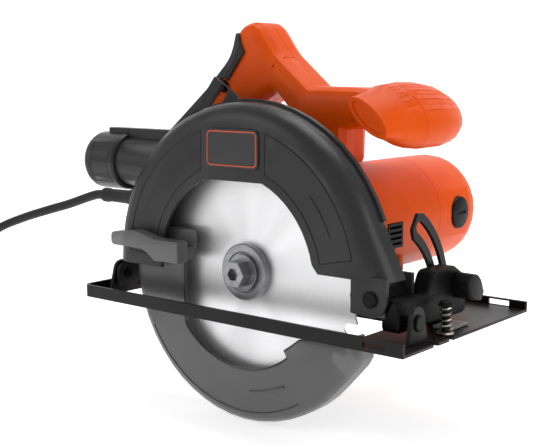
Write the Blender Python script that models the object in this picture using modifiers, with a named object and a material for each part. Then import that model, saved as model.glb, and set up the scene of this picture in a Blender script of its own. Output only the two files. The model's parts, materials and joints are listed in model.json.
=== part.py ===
"""Corded circular saw: a separate solid for every sub-part, in metres.

+X is the cutting direction, +Y runs from the blade to the motor and +Z is up.
Z = 0 is the underside of the sole, X = 0 is under the blade spindle and Y = 0
is the middle of the sole. The saw is shown at full depth, square to the sole.
"""
import math

import bmesh
import bpy
from mathutils import Matrix, Vector

# ---------------------------------------------------------------- clearances
GAP = 0.0003
WALL = 0.003
PIN_CLEARANCE = 0.0003

# --------------------------------------------------------------------- blade
BLADE_RADIUS = 0.095
BLADE_THICKNESS = 0.0018
BLADE_TEETH = 24
BLADE_BORE = 0.008
TOOTH_DEPTH = 0.009
CUT_DEPTH = 0.066
BLADE_FRONT = -0.0435
BLADE_BACK = BLADE_FRONT + BLADE_THICKNESS
SPINDLE = (0.0, BLADE_RADIUS - CUT_DEPTH)
FLANGE_RADIUS = 0.020
FLANGE_THICKNESS = 0.0057
BOLT_HEAD_RADIUS = 0.0098
BOLT_HEAD_FRONT = -0.0604

# ---------------------------------------------------------------------- sole
SOLE_REAR = -0.1315
SOLE_FRONT = 0.150
SOLE_HALF_WIDTH = 0.080
SOLE_SHEET = 0.002
NEAR_RIM = 0.0089
FAR_RIM = 0.0074
SLOT_REAR = -0.118
SLOT_FRONT = 0.1055
SLOT_NEAR = -0.0625
SLOT_FAR = -0.008
FENCE_X = 0.129
FENCE_HALF = 0.008

# --------------------------------------------------- bevel and depth pivots
BEVEL_AXIS = (-0.051, 0.015)
BEVEL_RANGE = math.radians(45)
BEVEL_REST = math.radians(12)
BEVEL_ARC = 0.063
BEVEL_SLOT = 0.0035
QUADRANT_X = 0.120
QUADRANT_SHEET = 0.0025
REAR_EAR_X = -0.118
FRONT_EAR_X = 0.1410
BEVEL_PIN = 0.0035
DEPTH_PIVOT = (0.113, 0.027)
DEPTH_RANGE = math.radians(34)
DEPTH_REST = math.radians(4.5)
DEPTH_ARC = 0.200
DEPTH_BAND = 0.013
DEPTH_SLOT = 0.0042
DEPTH_PLATE_Y = (-0.0210, -0.0185)
DEPTH_PIN = 0.0035
LEVER_BOLT = 0.0032

# --------------------------------------------------------------- upper guard
GUARD_RADIUS = 0.117
GUARD_FRONT = -0.060
GUARD_BACK = -0.0282
GUARD_ROUNDING = 0.012
GUARD_WALL = 0.0026
ARCH_RADIUS = 0.069
ARCH_TOP = 0.093
REAR_LEG_BOTTOM = 0.026
FRONT_LEG_BOTTOM = 0.038
LIP_HEIGHT = 0.002
LIP_Y = (-0.0420, -0.0385)
LUG_RADIUS = 0.0125
REAR_SHELL_RADIUS = 0.1100
FIN_HALF = 0.004
FIN_HEIGHT = 0.0035
SPOUT_AXIS = (-0.040, 0.099)
SPOUT_RADIUS = 0.0215
SPOUT_MOUTH_X = -0.150
SPOUT_SEAT_X = -0.118
SPOUT_WALL = 0.0032

# --------------------------------------------------------------- lower guard
LOWER_RADIUS = 0.1055
LOWER_FRONT = -0.0528
LOWER_BACK = -0.0335
LOWER_WALL = 0.002
LOWER_ROUNDING = 0.0075
LOWER_HUB = 0.022
NOSE_RADIUS = 0.017

# ------------------------------------------------------ gear case and motor
GEAR_MODULE = 0.0015
PINION_TEETH = 10
WHEEL_TEETH = 27
SMALL_TEETH = 12
OUTPUT_TEETH = 25
GEAR_CASE_BACK = -0.0062
LOCK_PIN = 0.0012
SPINDLE_TAIL = 0.0048
TAIL_BEARING = 0.0095
TAIL_END = -0.0022
LOCK_Y = -0.0136
MOTOR_AXIS = (0.040, 0.0615)
MOTOR_RADIUS = 0.0405
MOTOR_SEAM_Y = 0.078
MOTOR_END_Y = 0.144
MOTOR_ROUNDING = 0.022
BRUSH_Y = 0.106
BRUSH_CAP = 0.012
BRUSH_DEPTH = 0.014
COMMUTATOR_RADIUS = 0.0115

# -------------------------------------------------------------------- handle
HANDLE_NEAR = 0.0
HANDLE_FAR = 0.038
SEAM_Y = 0.019
HANDLE_ROUNDING = 0.009
RUBBER = 0.0016
SCREW_RADIUS = 0.0016
SCREW_BOSS = 0.0046
SCREW_PLACES = ((-0.1380, 0.0480), (-0.0400, 0.1840), (0.0300, 0.1410))
POMMEL_CENTRE = (0.0810, 0.1365)
POMMEL_LONG = 0.0275
POMMEL_SHORT = 0.0185
POMMEL_TILT = math.radians(40)
POMMEL_ENDS = (-0.0190, 0.0880)

# ------------------------------------------------------------- power supply
CORD_RADIUS = 0.004
COIL_CENTRE = (-0.352, -0.078)
COIL_MEAN_RADIUS = 0.040
COIL_ROWS = 3
FLOOR_Z = SPINDLE[1] - LOWER_RADIUS

COLOURS = {
    "orange": ((0.76, 0.10, 0.015), 0.40, 0.0),
    "guard": ((0.055, 0.055, 0.057), 0.45, 0.0),
    "black": ((0.012, 0.012, 0.012), 0.50, 0.0),
    "rubber": ((0.018, 0.018, 0.019), 0.75, 0.0),
    "smoke": ((0.16, 0.16, 0.165), 0.15, 0.0),
    "blade": ((0.72, 0.72, 0.73), 0.25, 1.0),
    "steel": ((0.45, 0.45, 0.46), 0.35, 1.0),
    "zinc": ((0.60, 0.60, 0.58), 0.40, 1.0),
    "painted": ((0.010, 0.010, 0.011), 0.40, 0.3),
    "alloy": ((0.50, 0.50, 0.50), 0.45, 1.0),
    "copper": ((0.65, 0.28, 0.12), 0.35, 1.0),
    "brass": ((0.70, 0.50, 0.22), 0.30, 1.0),
    "badge": ((0.70, 0.09, 0.02), 0.35, 0.0),
}

parts = bpy.data.collections.new("circular_saw")
cutters = bpy.data.collections.new("cutters")


# ------------------------------------------------------------------- helpers
def clear_scene():
    """Remove what the start-up file holds and add the two collections."""
    for obj in list(bpy.data.objects):
        bpy.data.objects.remove(obj, do_unlink=True)
    bpy.context.scene.collection.children.link(parts)
    bpy.context.scene.collection.children.link(cutters)


def material(kind):
    """Return the shared Principled material of that kind."""
    if kind in bpy.data.materials:
        return bpy.data.materials[kind]
    colour, roughness, metallic = COLOURS[kind]
    made = bpy.data.materials.new(kind)
    made.use_nodes = True
    shader = made.node_tree.nodes["Principled BSDF"]
    shader.inputs["Base Color"].default_value = (*colour, 1.0)
    shader.inputs["Roughness"].default_value = roughness
    shader.inputs["Metallic"].default_value = metallic
    return made


def add_object(name, mesh, kind):
    """Link a mesh to the parts collection, or to the cutters when kind is None."""
    obj = bpy.data.objects.new(name, mesh)
    if kind is None:
        cutters.objects.link(obj)
        obj.hide_render = True
        obj.display_type = "WIRE"
        return obj
    mesh.materials.clear()
    mesh.materials.append(material(kind))
    parts.objects.link(obj)
    return obj


def mesh_from(bm, name):
    """Turn a bmesh into a mesh with smooth round faces."""
    bmesh.ops.recalc_face_normals(bm, faces=bm.faces)
    mesh = bpy.data.meshes.new(name)
    bm.to_mesh(mesh)
    bm.free()
    mesh.shade_smooth()
    mesh.set_sharp_from_angle(angle=math.radians(35))
    return mesh


def box(name, low, high, kind=None, rounding=0.0):
    """A box between two opposite corners."""
    bm = bmesh.new()
    bmesh.ops.create_cube(bm, size=1.0)
    low, high = Vector(low), Vector(high)
    size = high - low
    bmesh.ops.scale(bm, vec=size, verts=bm.verts)
    bmesh.ops.translate(bm, vec=(low + high) / 2, verts=bm.verts)
    if rounding:
        bmesh.ops.bevel(bm, geom=bm.edges[:], offset=rounding, segments=2,
                        profile=0.5, affect="EDGES")
    return add_object(name, mesh_from(bm, name), kind)


AXIS_TURN = {
    "X": Matrix.Rotation(math.radians(90), 4, "Y"),
    "Y": Matrix.Rotation(math.radians(-90), 4, "X"),
    "Z": Matrix.Identity(4),
}


def turned(name, profile, axis, centre, kind=None, steps=32, closed=False):
    """Turn (radius, station) points about an axis through centre.

    The outer side of the profile runs from its highest station to its lowest.
    """
    mesh = bpy.data.meshes.new(name)
    points = [(radius, 0.0, station) for radius, station in profile]
    edges = [(i, i + 1) for i in range(len(points) - 1)]
    if closed:
        edges.append((len(points) - 1, 0))
    mesh.from_pydata(points, edges, [])
    obj = add_object(name, mesh, kind)
    obj.matrix_world = Matrix.Translation(centre) @ AXIS_TURN[axis]
    screw = obj.modifiers.new("turn", "SCREW")
    screw.angle = 2 * math.pi
    screw.steps = steps
    screw.render_steps = steps
    screw.use_merge_vertices = True
    screw.merge_threshold = 0.00001
    screw.use_smooth_shade = True
    return frozen(obj)


def frozen(obj):
    """Replace an object by its evaluated mesh, in world coordinates."""
    bpy.context.view_layer.update()
    graph = bpy.context.evaluated_depsgraph_get()
    evaluated = obj.evaluated_get(graph)
    mesh = bpy.data.meshes.new_from_object(evaluated, depsgraph=graph)
    mesh.transform(obj.matrix_world)
    bm = bmesh.new()
    bm.from_mesh(mesh)
    bmesh.ops.remove_doubles(bm, verts=bm.verts, dist=0.000002)
    bmesh.ops.recalc_face_normals(bm, faces=bm.faces)
    bm.to_mesh(mesh)
    bm.free()
    name, home = obj.name, obj.users_collection[0]
    is_cutter = obj.hide_render
    materials = [slot.material for slot in obj.material_slots]
    bpy.data.objects.remove(obj, do_unlink=True)
    made = bpy.data.objects.new(name, mesh)
    mesh.materials.clear()
    for entry in materials:
        mesh.materials.append(entry)
    home.objects.link(made)
    made.hide_render = is_cutter
    made.display_type = "WIRE" if is_cutter else "TEXTURED"
    mesh.shade_smooth()
    mesh.set_sharp_from_angle(angle=math.radians(35))
    return made


def cylinder(name, radius, axis, centre, low, high, kind=None, steps=20, bore=0.0):
    """A disc, rod or tube along an axis from station low to station high."""
    if bore:
        profile = [(bore, high), (radius, high), (radius, low), (bore, low)]
        return turned(name, profile, axis, centre, kind, steps, closed=True)
    profile = [(0.0, high), (radius, high), (radius, low), (0.0, low)]
    return turned(name, profile, axis, centre, kind, steps)


def along_y(point):
    """The place on the Y axis direction through an (x, z) point."""
    return (point[0], 0.0, point[1])


def along_x(point):
    """The place on the X axis direction through a (y, z) point."""
    return (0.0, point[0], point[1])


PLATE_FRAME = {
    "X": Matrix(((0, 0, 1, 0), (1, 0, 0, 0), (0, 1, 0, 0), (0, 0, 0, 1))),
    "Y": Matrix(((1, 0, 0, 0), (0, 0, -1, 0), (0, 1, 0, 0), (0, 0, 0, 1))),
    "Z": Matrix.Identity(4),
}


def plate(name, axis, loops, low, high, kind=None, rounding=0.0, offset=0.0, segments=2):
    """A flat outline with holes, extruded along an axis between two stations.

    Loops are (x, z) points across Y, (y, z) points across X, (x, y) across Z.
    """
    curve = bpy.data.curves.new(name, "CURVE")
    curve.dimensions = "2D"
    curve.fill_mode = "BOTH"
    curve.extrude = (high - low) / 2 - rounding
    curve.bevel_depth = rounding
    curve.bevel_resolution = segments
    curve.offset = offset - rounding
    for loop in loops:
        spline = curve.splines.new("POLY")
        spline.points.add(len(loop) - 1)
        for point, place in zip(spline.points, loop):
            point.co = (place[0], place[1], 0.0, 1.0)
        spline.use_cyclic_u = True
    obj = bpy.data.objects.new(name, curve)
    home = cutters if kind is None else parts
    home.objects.link(obj)
    obj.hide_render = kind is None
    middle = (low + high) / 2
    step = {"X": (middle, 0, 0), "Y": (0, middle, 0), "Z": (0, 0, middle)}[axis]
    obj.matrix_world = Matrix.Translation(step) @ PLATE_FRAME[axis]
    if kind is not None:
        curve.materials.append(material(kind))
    return frozen(obj)


def combine(target, others, operation="DIFFERENCE"):
    """Cut other objects from a target or join them to it, with exact Booleans."""
    for other in others:
        if other.name not in cutters.objects:
            parts.objects.unlink(other)
            cutters.objects.link(other)
        other.hide_render = True
        other.display_type = "WIRE"
        change = target.modifiers.new(operation.lower(), "BOOLEAN")
        change.operation = operation
        change.solver = "EXACT"
        change.object = other
    return target


def cut(target, *others):
    """Cut the others from the target."""
    return combine(target, others)


def join(target, *others):
    """Join the others to the target."""
    return combine(target, others, "UNION")


def set_origin(obj, place):
    """Move the object's origin to a place without moving its shape."""
    place = Vector(place)
    obj.data.transform(Matrix.Translation(-place))
    obj.location = place
    return obj


def arc(centre, radius, start, end, count):
    """Points on an arc, angles in degrees from the first axis."""
    points = []
    for i in range(count + 1):
        angle = math.radians(start + (end - start) * i / count)
        points.append((centre[0] + radius * math.cos(angle),
                       centre[1] + radius * math.sin(angle)))
    return points


def circle(centre, radius, count=24):
    """Points of a full circle."""
    return arc(centre, radius, 0, 360, count)[:-1]


def rounded(corners, count=3):
    """Round a polygon: each corner is (x, y, radius)."""
    outline = []
    total = len(corners)
    for i, (x, y, radius) in enumerate(corners):
        here = Vector((x, y))
        before = (Vector(corners[i - 1][:2]) - here).normalized()
        after = (Vector(corners[(i + 1) % total][:2]) - here).normalized()
        angle = before.angle(after)
        if radius <= 0 or angle > math.radians(175):
            outline.append((x, y))
            continue
        reach = radius / math.tan(angle / 2)
        middle = here + (before + after).normalized() * radius / math.sin(angle / 2)
        first, last = here + before * reach - middle, here + after * reach - middle
        start = math.atan2(first.y, first.x)
        sweep = (math.atan2(last.y, last.x) - start + math.pi) % (2 * math.pi) - math.pi
        outline += arc(middle, radius, math.degrees(start), math.degrees(start + sweep), count)
    return outline


def hull(circles, count=20):
    """The convex outline round several (centre, radius) circles."""
    points = sorted(p for centre, radius in circles for p in circle(centre, radius, count))

    def half(run):
        chain = []
        for p in run:
            while len(chain) > 1:
                (ax, ay), (bx, by) = chain[-2], chain[-1]
                if (bx - ax) * (p[1] - ay) - (by - ay) * (p[0] - ax) > 1e-9:
                    break
                chain.pop()
            chain.append(p)
        return chain[:-1]

    return half(points) + half(points[::-1])


def band(centre, radius, half, start, end, count=16):
    """A curved band with square ends about a centre."""
    outer = arc(centre, radius + half, start, end, count)
    inner = arc(centre, radius - half, end, start, count)
    return outer + inner


def slot(centre, radius, half, start, end, count=16):
    """A curved slot with round ends about a centre."""
    first = math.radians(start)
    last = math.radians(end)
    head = (centre[0] + radius * math.cos(last), centre[1] + radius * math.sin(last))
    tail = (centre[0] + radius * math.cos(first), centre[1] + radius * math.sin(first))
    outer = arc(centre, radius + half, start, end, count)
    inner = arc(centre, radius - half, end, start, count)
    return outer + arc(head, half, end, end + 180, 6)[1:-1] + inner + arc(
        tail, half, start + 180, start + 360, 6)[1:-1]


def polar(centre, radius, angle):
    """The point at an angle in degrees from a centre."""
    return arc(centre, radius, angle, angle, 1)[0]


# ---------------------------------------------------------------------- sole
def make_sole():
    """The pressed steel sole with its rims, blade slot and ears."""
    corner = 0.006
    outline = rounded([
        (SOLE_REAR, -SOLE_HALF_WIDTH, corner), (SOLE_FRONT, -SOLE_HALF_WIDTH, 0),
        (SOLE_FRONT, SOLE_HALF_WIDTH, 0), (SOLE_REAR, SOLE_HALF_WIDTH, corner)], 5)
    blade_slot = rounded([
        (SLOT_REAR, SLOT_NEAR, 0.003), (SLOT_FRONT, SLOT_NEAR, 0.003),
        (SLOT_FRONT, SLOT_FAR, 0.003), (SLOT_REAR, SLOT_FAR, 0.003)])
    tray = plate("sole_plate", "Z", [outline], 0.0, NEAR_RIM, "painted")
    inside = rounded([
        (SOLE_REAR + SOLE_SHEET, -SOLE_HALF_WIDTH + SOLE_SHEET, corner - SOLE_SHEET),
        (SOLE_FRONT + 0.01, -SOLE_HALF_WIDTH + SOLE_SHEET, 0),
        (SOLE_FRONT + 0.01, SOLE_HALF_WIDTH - SOLE_SHEET, 0),
        (SOLE_REAR + SOLE_SHEET, SOLE_HALF_WIDTH - SOLE_SHEET, corner - SOLE_SHEET)], 5)
    cut(tray, plate("sole_tray_cut", "Z", [inside], SOLE_SHEET, NEAR_RIM + 0.01))
    cut(tray, plate("sole_blade_slot", "Z", [blade_slot], -0.01, 0.01))
    cut(tray, box("sole_far_rim_cut", (SOLE_REAR + corner, SOLE_HALF_WIDTH - 0.005, FAR_RIM),
                  (SOLE_FRONT + 0.01, SOLE_HALF_WIDTH + 0.005, NEAR_RIM + 0.01)))
    cut(tray, box("sole_fence_slots", (FENCE_X - FENCE_HALF, -0.1, SOLE_SHEET + GAP),
                  (FENCE_X + FENCE_HALF, 0.1, 0.0062)))
    notch = [(SOLE_FRONT + 0.005, -0.047), (SOLE_FRONT + 0.005, -0.038),
             (SOLE_FRONT - 0.006, -0.0415), (SOLE_FRONT - 0.006, -0.0435)]
    bevel_notch = [(x, y + 0.0185) for x, y in notch]
    cut(tray, plate("sole_sight_notches", "Z", [notch, bevel_notch], -0.01, 0.01))
    join(tray, make_ear("sole_rear_ear", REAR_EAR_X, 0.015, 0.0255))
    join(tray, make_ear("sole_front_ear", FRONT_EAR_X, 0.011, 0.0250))
    return tray


def make_ear(name, x, half, top):
    """An upright ear of the sole, with the bevel pin's hole."""
    y = BEVEL_AXIS[0]
    outline = rounded([(y - half, SOLE_SHEET / 2, 0), (y + half, SOLE_SHEET / 2, 0),
                       (y + half * 0.55, top, 0.007), (y - half * 0.55, top, 0.007)], 4)
    hole = circle(BEVEL_AXIS, BEVEL_PIN + PIN_CLEARANCE, 20)
    half_sheet = QUADRANT_SHEET / 2
    return plate(name, "X", [outline, hole], x - half_sheet, x + half_sheet)


def make_bevel_quadrant():
    """The slotted bevel quadrant and the foot that holds it to the sole."""
    low, high = QUADRANT_X - QUADRANT_SHEET / 2, QUADRANT_X + QUADRANT_SHEET / 2
    rest = math.degrees(BEVEL_REST)
    end = rest + math.degrees(BEVEL_RANGE)
    outer, inner = BEVEL_ARC + 0.0098, BEVEL_ARC - 0.0098
    foot = SOLE_SHEET + GAP
    y = BEVEL_AXIS[0]
    outline = arc(BEVEL_AXIS, outer, 2, end + 1, 12)
    outline += [polar(BEVEL_AXIS, outer - 0.003, end + 6), polar(BEVEL_AXIS, inner + 0.005, end + 7)]
    outline += arc(BEVEL_AXIS, inner, end + 2, 12, 10)
    outline += [(y + inner - 0.004, foot), (y + outer, foot)]
    slotted = slot(BEVEL_AXIS, BEVEL_ARC, BEVEL_SLOT + GAP, rest - 0.5, end + 0.5)
    body = plate("bevel_quadrant", "X", [outline, slotted], low, high, "painted")
    return join(body, box("bevel_quadrant_foot", (QUADRANT_X - 0.015, y + inner - 0.003, foot),
                          (QUADRANT_X, y + outer - 0.001, foot + QUADRANT_SHEET)))


def make_fence_clamp():
    """The sprung screw and the plate that hold a rip fence."""
    x, y = 0.1425, -0.019
    top = SOLE_SHEET + GAP
    screw = [(0.0, 0.024), (0.0035, 0.0235), (0.0050, 0.021), (0.0050, 0.0205),
             (0.0022, 0.0205), (0.0022, top + 0.0003), (0.0, top + 0.0003)]
    turned("fence_clamp_screw", screw, "Z", (x, y, 0), "steel", 20)
    low, high = top + 0.0027, 0.0197
    turns, steps = 4, 8
    coil = [(x + 0.0036 * math.cos(2 * math.pi * i / steps),
             y + 0.0036 * math.sin(2 * math.pi * i / steps),
             low + (high - low) * (0.5 + i) / (turns * steps + 1))
            for i in range(turns * steps + 1)]
    tube("fence_clamp_spring", coil, 0.0006, "zinc", 0)
    washer = [(0.0026, top + 0.0018), (0.0055, top + 0.0018), (0.0055, top + 0.0006),
              (0.0026, top + 0.0006)]
    turned("fence_clamp_washer", washer, "Z", (x, y, 0), "zinc", 20, closed=True)
    outline = rounded([(x - 0.015, y + 0.009, 0.001), (x - 0.001, y + 0.009, 0.001),
                       (x - 0.001, y + 0.032, 0.001), (x - 0.015, y + 0.032, 0.001)])
    plate("fence_clamp_plate", "Z", [outline], top, top + 0.0015, "zinc")


def tube(name, points, radius, kind, resolution=2):
    """A round wire or cord through the points, with flat ends."""
    curve = bpy.data.curves.new(name, "CURVE")
    curve.dimensions = "3D"
    curve.bevel_depth = radius
    curve.bevel_resolution = resolution
    curve.use_fill_caps = True
    spline = curve.splines.new("POLY")
    spline.points.add(len(points) - 1)
    for point, place in zip(spline.points, points):
        point.co = (*place, 1.0)
    obj = bpy.data.objects.new(name, curve)
    curve.materials.append(material(kind))
    parts.objects.link(obj)
    return frozen(obj)


# --------------------------------------------------------------- bevel frame
def make_front_bracket():
    """The cast bracket between the bevel pin, the clamp and the depth pivot."""
    pivot_x, pivot_z = DEPTH_PIVOT
    y, z = BEVEL_AXIS
    near = QUADRANT_X + QUADRANT_SHEET / 2 + GAP
    far = near + 0.0125
    bottom = 0.0085
    knob = bevel_clamp_place()
    outline = rounded([
        (y - 0.010, bottom, 0.003), (knob[0] + 0.011, bottom, 0.003),
        (knob[0] + 0.011, knob[1] + 0.005, 0.008), (knob[0] - 0.004, 0.0415, 0.006),
        (GUARD_BACK + 0.0080, 0.0415, 0.005), (GUARD_BACK + 0.0012, pivot_z + 0.001, 0.001),
        (y - 0.010, pivot_z + 0.001, 0.006)])
    body = plate("front_bracket", "X", [outline], near, far, "black", rounding=0.0012,
                 segments=0)
    sweep = LUG_RADIUS + 0.0028
    for name, low, high in (("front", GUARD_FRONT - 0.002, GUARD_FRONT + GUARD_WALL + 0.001),
                            ("back", GUARD_BACK - WALL - 0.001, GUARD_BACK + 0.001)):
        cut(body, cylinder(f"bracket_{name}_lug_room", sweep, "Y", along_y(DEPTH_PIVOT),
                           low, high))
    cheek_near, cheek_far = LOWER_FRONT + 0.001, GUARD_BACK - WALL - 0.001
    join(body, cylinder("bracket_barrel", 0.0085, "Y", along_y(DEPTH_PIVOT),
                        cheek_near, cheek_far))
    join(body, box("bracket_web", (pivot_x + 0.001, cheek_near, pivot_z - 0.0080),
                   (near + 0.002, cheek_far, pivot_z + 0.0005)))
    cut(body, cylinder("bracket_depth_bore", DEPTH_PIN + PIN_CLEARANCE, "Y",
                       along_y(DEPTH_PIVOT), cheek_near - 0.01, cheek_far + 0.01))
    cut(body, cylinder("bracket_bevel_bore", BEVEL_PIN + PIN_CLEARANCE, "X",
                       along_x(BEVEL_AXIS), near - 0.01, far + 0.01))
    cut(body, cylinder("bracket_clamp_bore", BEVEL_SLOT + PIN_CLEARANCE - 0.0005, "X",
                       along_x(knob), near - 0.01, far + 0.01))
    return body


def bevel_clamp_place():
    """The (y, z) place of the bevel clamp screw at rest."""
    return polar(BEVEL_AXIS, BEVEL_ARC, math.degrees(BEVEL_REST))


def depth_clamp_place():
    """The (x, z) place of the depth clamp bolt at rest."""
    return polar(DEPTH_PIVOT, DEPTH_ARC, 180 - math.degrees(DEPTH_REST))


def make_depth_quadrant():
    """The slotted depth quadrant and its bent foot with the rear bevel hole."""
    rest = math.degrees(DEPTH_REST)
    end = rest + math.degrees(DEPTH_RANGE)
    near, far = DEPTH_PLATE_Y
    x, z = DEPTH_PIVOT
    foot_x = REAR_EAR_X + QUADRANT_SHEET / 2 + GAP
    bottom = 0.0095
    outline = arc(DEPTH_PIVOT, DEPTH_ARC + DEPTH_BAND, 180 - end - 1, 180 - rest, 14)
    outline += [(foot_x, 0.031), (foot_x, bottom)]
    outline += [(x - DEPTH_ARC + DEPTH_BAND + 0.001, bottom)]
    outline += arc(DEPTH_PIVOT, DEPTH_ARC - DEPTH_BAND, 180 - rest + 3, 180 - end - 2, 14)
    slotted = slot(DEPTH_PIVOT, DEPTH_ARC, DEPTH_SLOT, 180 - end - 0.4, 180 - rest + 0.4)
    body = plate("depth_quadrant", "Y", [outline, slotted], near, far, "painted")
    y = BEVEL_AXIS[0]
    foot = rounded([(y - 0.009, 0.0065, 0.003), (far, bottom, 0), (far, 0.0235, 0),
                    (y - 0.009, 0.0235, 0.006)], 4)
    hole = circle(BEVEL_AXIS, BEVEL_PIN + PIN_CLEARANCE, 20)
    return join(body, plate("depth_quadrant_foot", "X", [foot, hole],
                            foot_x, foot_x + QUADRANT_SHEET))


def make_pins():
    """Pivot pins of the bevel and depth hinges, each with a head."""
    ear = QUADRANT_SHEET / 2
    foot_front = REAR_EAR_X + ear + GAP + QUADRANT_SHEET
    pin("rear_bevel_pin", "X", along_x(BEVEL_AXIS), BEVEL_PIN,
        REAR_EAR_X - ear - GAP, foot_front + 0.0015, 0.0018)
    pin("front_bevel_pin", "X", along_x(BEVEL_AXIS), BEVEL_PIN,
        QUADRANT_X + 0.0016, FRONT_EAR_X + ear + GAP, 0.0018, head_high=True)
    pin("depth_pivot_pin", "Y", along_y(DEPTH_PIVOT), DEPTH_PIN,
        GUARD_FRONT - GAP, GUARD_BACK + 0.0015, 0.0016)


def pin(name, axis, centre, radius, low, high, head, head_high=False):
    """A headed pin: the shank runs from low to high, the head is outside it."""
    wide = radius + 0.0018
    if head_high:
        profile = [(0.0, high + head), (wide - 0.0006, high + head),
                   (wide, high + head - 0.0006), (wide, high), (radius, high),
                   (radius, low), (0.0, low)]
    else:
        profile = [(0.0, high), (radius, high), (radius, low), (wide, low),
                   (wide, low - head + 0.0006), (wide - 0.0006, low - head), (0.0, low - head)]
    return turned(name, profile, axis, centre, "black", 20)


def make_bevel_knob():
    """The wing knob, its screw through the quadrant, and the square nut behind."""
    place = bevel_clamp_place()
    front = QUADRANT_X + QUADRANT_SHEET / 2 + GAP + 0.0125 + GAP
    back = QUADRANT_X - QUADRANT_SHEET / 2 - GAP
    long, wide = Vector((0.0090, -0.0075)), Vector((0.0038, 0.0046))
    start = Vector(place)
    wings = rounded([(*(start + along * long + across * wide), 0.0025)
                     for along, across in ((1, 0.6), (0.2, 1.3), (-0.2, 1.3), (-1, 0.6),
                                           (-1, -0.6), (-0.2, -1.3), (0.2, -1.3), (1, -0.6))])
    knob = plate("bevel_knob", "X", [wings], front + 0.003, front + 0.0135, "black",
                 rounding=0.0015, segments=1)
    join(knob, cylinder("knob_hub", 0.0085, "X", along_x(place), front, front + 0.012))
    join(knob, cylinder("knob_screw", BEVEL_SLOT - 0.0005, "X", along_x(place),
                        back - 0.002, front + 0.006))
    join(knob, cylinder("knob_nut", 0.0066, "X", along_x(place), back - 0.0045, back, steps=6))
    return set_origin(knob, along_x(place))


# -------------------------------------------------------------------- guards
def guard_outline():
    """Outer outline of the upper guard in (x, z), before its legs are trimmed."""
    low = -0.060
    outline = [(-GUARD_RADIUS, low)] + arc(SPINDLE, GUARD_RADIUS, 180, 20, 22)
    front = DEPTH_PIVOT[0] + LUG_RADIUS
    return outline + [(front, DEPTH_PIVOT[1] + 0.010), (front, low)]


def trim_outline():
    """What is cut away below the guard's two legs."""
    low, side = -0.10, 0.2
    step = SPINDLE[0] + 0.010
    return [(-side, low), (-side, REAR_LEG_BOTTOM), (step, REAR_LEG_BOTTOM),
            (step, FRONT_LEG_BOTTOM), (side, FRONT_LEG_BOTTOM), (side, low)]


def lug_outline():
    """A pivot lug below the front leg."""
    x, z = DEPTH_PIVOT
    rear, top = x - 0.0150, FRONT_LEG_BOTTOM + 0.003
    outline = [(rear, top), (x + LUG_RADIUS - 0.0008, top)]
    return outline + arc(DEPTH_PIVOT, LUG_RADIUS - 0.0008, 0, -100, 8) + [(rear, z - 0.010)]


def arch_outline():
    """The open arch in the guard's face, down past its legs."""
    flat = math.degrees(math.asin((ARCH_TOP - SPINDLE[1]) / ARCH_RADIUS))
    low = -0.08
    outline = [(-ARCH_RADIUS, low)] + arc(SPINDLE, ARCH_RADIUS, 180, 180 - flat, 10)
    outline += arc(SPINDLE, ARCH_RADIUS, flat, 12, 9)
    return outline + [(ARCH_RADIUS + 0.004, FRONT_LEG_BOTTOM - 0.001),
                      (ARCH_RADIUS + 0.004, low)]


def rear_shell_outline(radius):
    """The narrower shell between the guard's lip and its back wall."""
    low = -0.060
    outline = [(-radius, low)] + arc(SPINDLE, radius, 180, 14, 20)
    return outline + [(radius, low)]


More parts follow.
